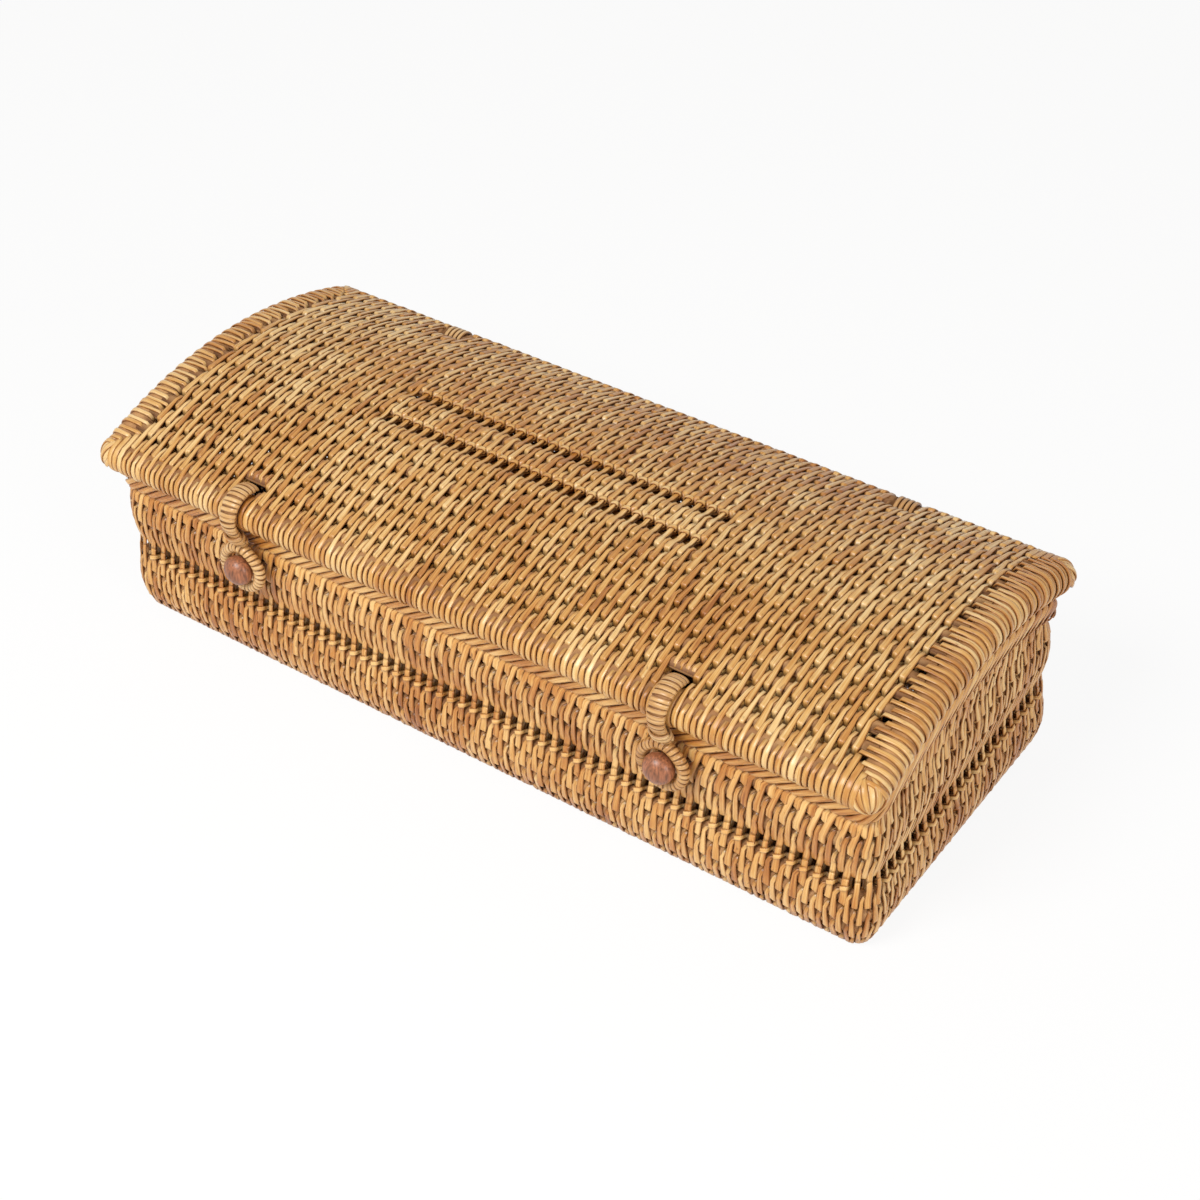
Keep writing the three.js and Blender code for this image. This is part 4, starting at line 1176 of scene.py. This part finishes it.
class TeaBoxColours(bpy.types.PropertyGroup):
    """Middle colour of each finish."""

    lid_cane: colour_property("Lid cane", "#d2a059", "Middle colour of the lid's cane")
    wall_cane: colour_property("Wall cane", "#d69f57", "Middle colour of the walls' cane")
    rim_cane: colour_property("Rim cane", "#d39a50", "Middle colour of the plaited rim")
    wrapped_cane: colour_property("Wrapping", "#d2a66c", "Middle colour of the fine wrapping")
    inner_cane: colour_property("Inner cane", "#cd9d62", "Middle colour of the floor and dividers")
    rod: colour_property("Rods", "#b07f50", "Middle colour of the rods")
    knob_wood: colour_property("Knob wood", "#9a6040", "Colour of the turned knobs")


class TeaBoxStage(bpy.types.PropertyGroup):
    """Studio light and camera."""

    key_power: FloatProperty(
        name="Key light", description="Power of the soft key light", default=9.5, min=0, unit="POWER")
    sky_light: FloatProperty(
        name="Sky light", description="Strength of the even light from all round", default=0.38, min=0)
    lens: FloatProperty(
        name="Lens", description="Focal length of the camera", default=66.0, min=10, unit="CAMERA")


# Operators


def chosen_sizes():
    """The user's sizes in millimetres."""
    group = bpy.context.scene.tea_box_sizes
    return SimpleNamespace(**{key: getattr(group, key) / MM for key in TeaBoxSizes.__annotations__})


class TEABOX_OT_walls(bpy.types.Operator):
    """Weave the walls and corners of the base"""

    bl_idname = "teabox.walls"
    bl_label = "Weave walls"

    def execute(self, context):
        weave_walls(chosen_sizes())
        return {"FINISHED"}


class TEABOX_OT_rim(bpy.types.Operator):
    """Plait the rim of the base"""

    bl_idname = "teabox.rim"
    bl_label = "Plait rim"

    def execute(self, context):
        plait_rim(chosen_sizes())
        return {"FINISHED"}


class TEABOX_OT_inside(bpy.types.Operator):
    """Weave the floor and the dividers"""

    bl_idname = "teabox.inside"
    bl_label = "Weave floor and dividers"

    def execute(self, context):
        weave_inside(chosen_sizes())
        return {"FINISHED"}


class TEABOX_OT_lid(bpy.types.Operator):
    """Weave the barrel lid and wrap its edge rolls"""

    bl_idname = "teabox.lid"
    bl_label = "Weave lid"

    def execute(self, context):
        weave_lid(chosen_sizes())
        roll_cores()
        wrap_ends(chosen_sizes())
        return {"FINISHED"}


class TEABOX_OT_closures(bpy.types.Operator):
    """Make the straps, rings and knobs that close the box"""

    bl_idname = "teabox.closures"
    bl_label = "Make closures"

    def execute(self, context):
        size = chosen_sizes()
        tie = tie_finish()
        for name, place in CLOSURES.items():
            strap(name, place, size)
            ring(name, place, size)
            neck_binding(name, place)
            knob(name, place)
            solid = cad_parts[f"{name}_knob_tie"]
            solid.data.materials.clear()
            solid.data.materials.append(tie)
        return {"FINISHED"}


class TEABOX_OT_lashings(bpy.types.Operator):
    """Lash the lid to the rim at the back"""

    bl_idname = "teabox.lashings"
    bl_label = "Make lashings"

    def execute(self, context):
        for name, place in LASHINGS.items():
            lashing(name, place)
        return {"FINISHED"}


class TEABOX_OT_stage(bpy.types.Operator):
    """Set the floor, the light and the camera"""

    bl_idname = "teabox.stage"
    bl_label = "Set stage"

    def execute(self, context):
        settings = context.scene.tea_box_stage
        studio_floor()
        studio_light(settings)
        studio_camera(settings)
        context.scene.view_settings.view_transform = "Standard"
        return {"FINISHED"}


# The stage: sizes of the floor and of its part under the box, in metres and millimetres
FLOOR_HALF = 4
COVERED_HALF_LENGTH, COVERED_HALF_DEPTH = 178, 64
# The lamps' places and widths in metres, and their shares of the key light's power
LAMPS = {"key_light": ((-0.1, -0.72, 0.88), 0.45, 1.0), "side_light": ((1.0, -0.3, 0.45), 0.35, 0.35)}
LAMPS_AIM = Vector((0, 0, 0.05))
# The camera's direction and its roll in degrees, and its place in millimetres, fitted to the photograph
CAMERA_TURNS, CAMERA_PLACE = (36.23, 39.22, 1.32), (432.93, -570.13, 620.54)


def white_when_seen(tree, kind, real, output, amount=1.0):
    """Shows plain white to the camera and in reflections, while the real surface gives the light."""
    rays = add_node(tree, "ShaderNodeLightPath").outputs
    share = maths(tree, "MAXIMUM", rays["Is Camera Ray"], rays["Is Glossy Ray"])
    share = maths(tree, "MAXIMUM", share, rays["Is Transmission Ray"])
    share = maths(tree, "MULTIPLY", share, amount)
    white = add_node(tree, kind, {}, {"Color": (1, 1, 1, 1), "Strength": 1.0})
    inputs = {0: share, 1: real.outputs[0], 2: white.outputs[0]}
    feed(tree, tree.nodes[output], {0: add_node(tree, "ShaderNodeMixShader", {}, inputs).outputs[0]})


def studio_floor():
    """A plain pale floor that goes to white and keeps a faint shadow.

    The part that the box covers takes only real light, so it doesn't shine through the weave.
    """
    mesh = bpy.data.meshes.new("studio_floor")
    for name in ("Painted studio floor, matt white", "Painted studio floor, under the box"):
        material, tree, shader = new_material(name)
        feed(tree, shader, {"Base Color": opaque("#f4f2ef"), "Roughness": 0.9})
        if not mesh.materials:
            white_when_seen(tree, "ShaderNodeEmission", shader, "Material Output", 0.9)
        mesh.materials.append(material)
    corners = ((-1, -1), (1, -1), (1, 1), (-1, 1))
    outer = [(FLOOR_HALF * x, FLOOR_HALF * y, 0) for x, y in corners]
    inner = [(x * COVERED_HALF_LENGTH * MM, (SHIFT_Y + y * COVERED_HALF_DEPTH) * MM, 0) for x, y in corners]
    sides = [(i, (i + 1) % 4, (i + 1) % 4 + 4, i + 4) for i in range(4)]
    mesh.from_pydata(outer + inner, [], sides + [(4, 5, 6, 7)])
    mesh.polygons[4].material_index = 1
    floor = bpy.data.objects.new("studio_floor", mesh)
    bpy.context.scene.collection.objects.link(floor)


def studio_light(settings):
    """Even sky light, a soft lamp up in front and a weaker one on the right."""
    world = bpy.data.worlds.new("Studio")
    bpy.context.scene.world = world
    world.use_nodes = True
    tree = world.node_tree
    dim = tree.nodes["Background"]
    feed(tree, dim, {"Color": opaque("#fdfcfa"), "Strength": settings.sky_light})
    white_when_seen(tree, "ShaderNodeBackground", dim, "World Output")
    for name, (place, width, share) in LAMPS.items():
        lamp = bpy.data.lights.new(name, "AREA")
        lamp.energy, lamp.size = share * settings.key_power, width
        lit = bpy.data.objects.new(name, lamp)
        lit.location = place
        lit.rotation_mode = "QUATERNION"
        lit.rotation_quaternion = (LAMPS_AIM - lit.location).to_track_quat("-Z", "Y")
        bpy.context.scene.collection.objects.link(lit)


def studio_camera(settings):
    """The camera at the photograph's angle: up on the right, turned a little about its view."""
    azimuth, rise, roll = (math.radians(v) for v in CAMERA_TURNS)
    view = Matrix.Rotation(azimuth, 4, "Z") @ Matrix.Rotation(math.pi / 2 - rise, 4, "X")
    data = bpy.data.cameras.new("photo_camera")
    data.lens = settings.lens
    data.sensor_width = 36
    data.clip_start, data.clip_end = 0.05, 20
    camera = bpy.data.objects.new("photo_camera", data)
    place = (Vector(CAMERA_PLACE) + Vector((0, SHIFT_Y, 0))) * MM
    camera.matrix_world = Matrix.Translation(place) @ view @ Matrix.Rotation(-roll, 4, "Z")
    bpy.context.scene.collection.objects.link(camera)
    bpy.context.scene.camera = camera


class TEABOX_PT_panel(bpy.types.Panel):
    """Sizes, colours and steps of the tea box"""

    bl_idname = "TEABOX_PT_panel"
    bl_label = "Tea box"
    bl_space_type = "VIEW_3D"
    bl_region_type = "UI"
    bl_category = "Tea box"

    def draw(self, context):
        for name in GROUPS:
            group, column = getattr(context.scene, name), self.layout.column()
            for key in type(group).__annotations__:
                column.prop(group, key)
        for step in STEPS:
            self.layout.operator(step.bl_idname)


GROUPS = {"tea_box_sizes": TeaBoxSizes, "tea_box_colours": TeaBoxColours, "tea_box_stage": TeaBoxStage}
STEPS = (TEABOX_OT_walls, TEABOX_OT_rim, TEABOX_OT_inside, TEABOX_OT_lid, TEABOX_OT_closures,
         TEABOX_OT_lashings, TEABOX_OT_stage)
CLASSES = (*GROUPS.values(), *STEPS, TEABOX_PT_panel)


def register():
    """Registers the classes and hangs the settings on the scene."""
    for made in CLASSES:
        bpy.utils.register_class(made)
    for name, group in GROUPS.items():
        setattr(bpy.types.Scene, name, PointerProperty(type=group))


def unregister():
    """Takes the settings and classes away again."""
    for name in GROUPS:
        delattr(bpy.types.Scene, name)
    for made in reversed(CLASSES):
        bpy.utils.unregister_class(made)


def main():
    """Runs every step in order."""
    register()
    for step in STEPS:
        family, action = step.bl_idname.split(".")
        getattr(getattr(bpy.ops, family), action)()


if __name__ == "__main__":
    main()
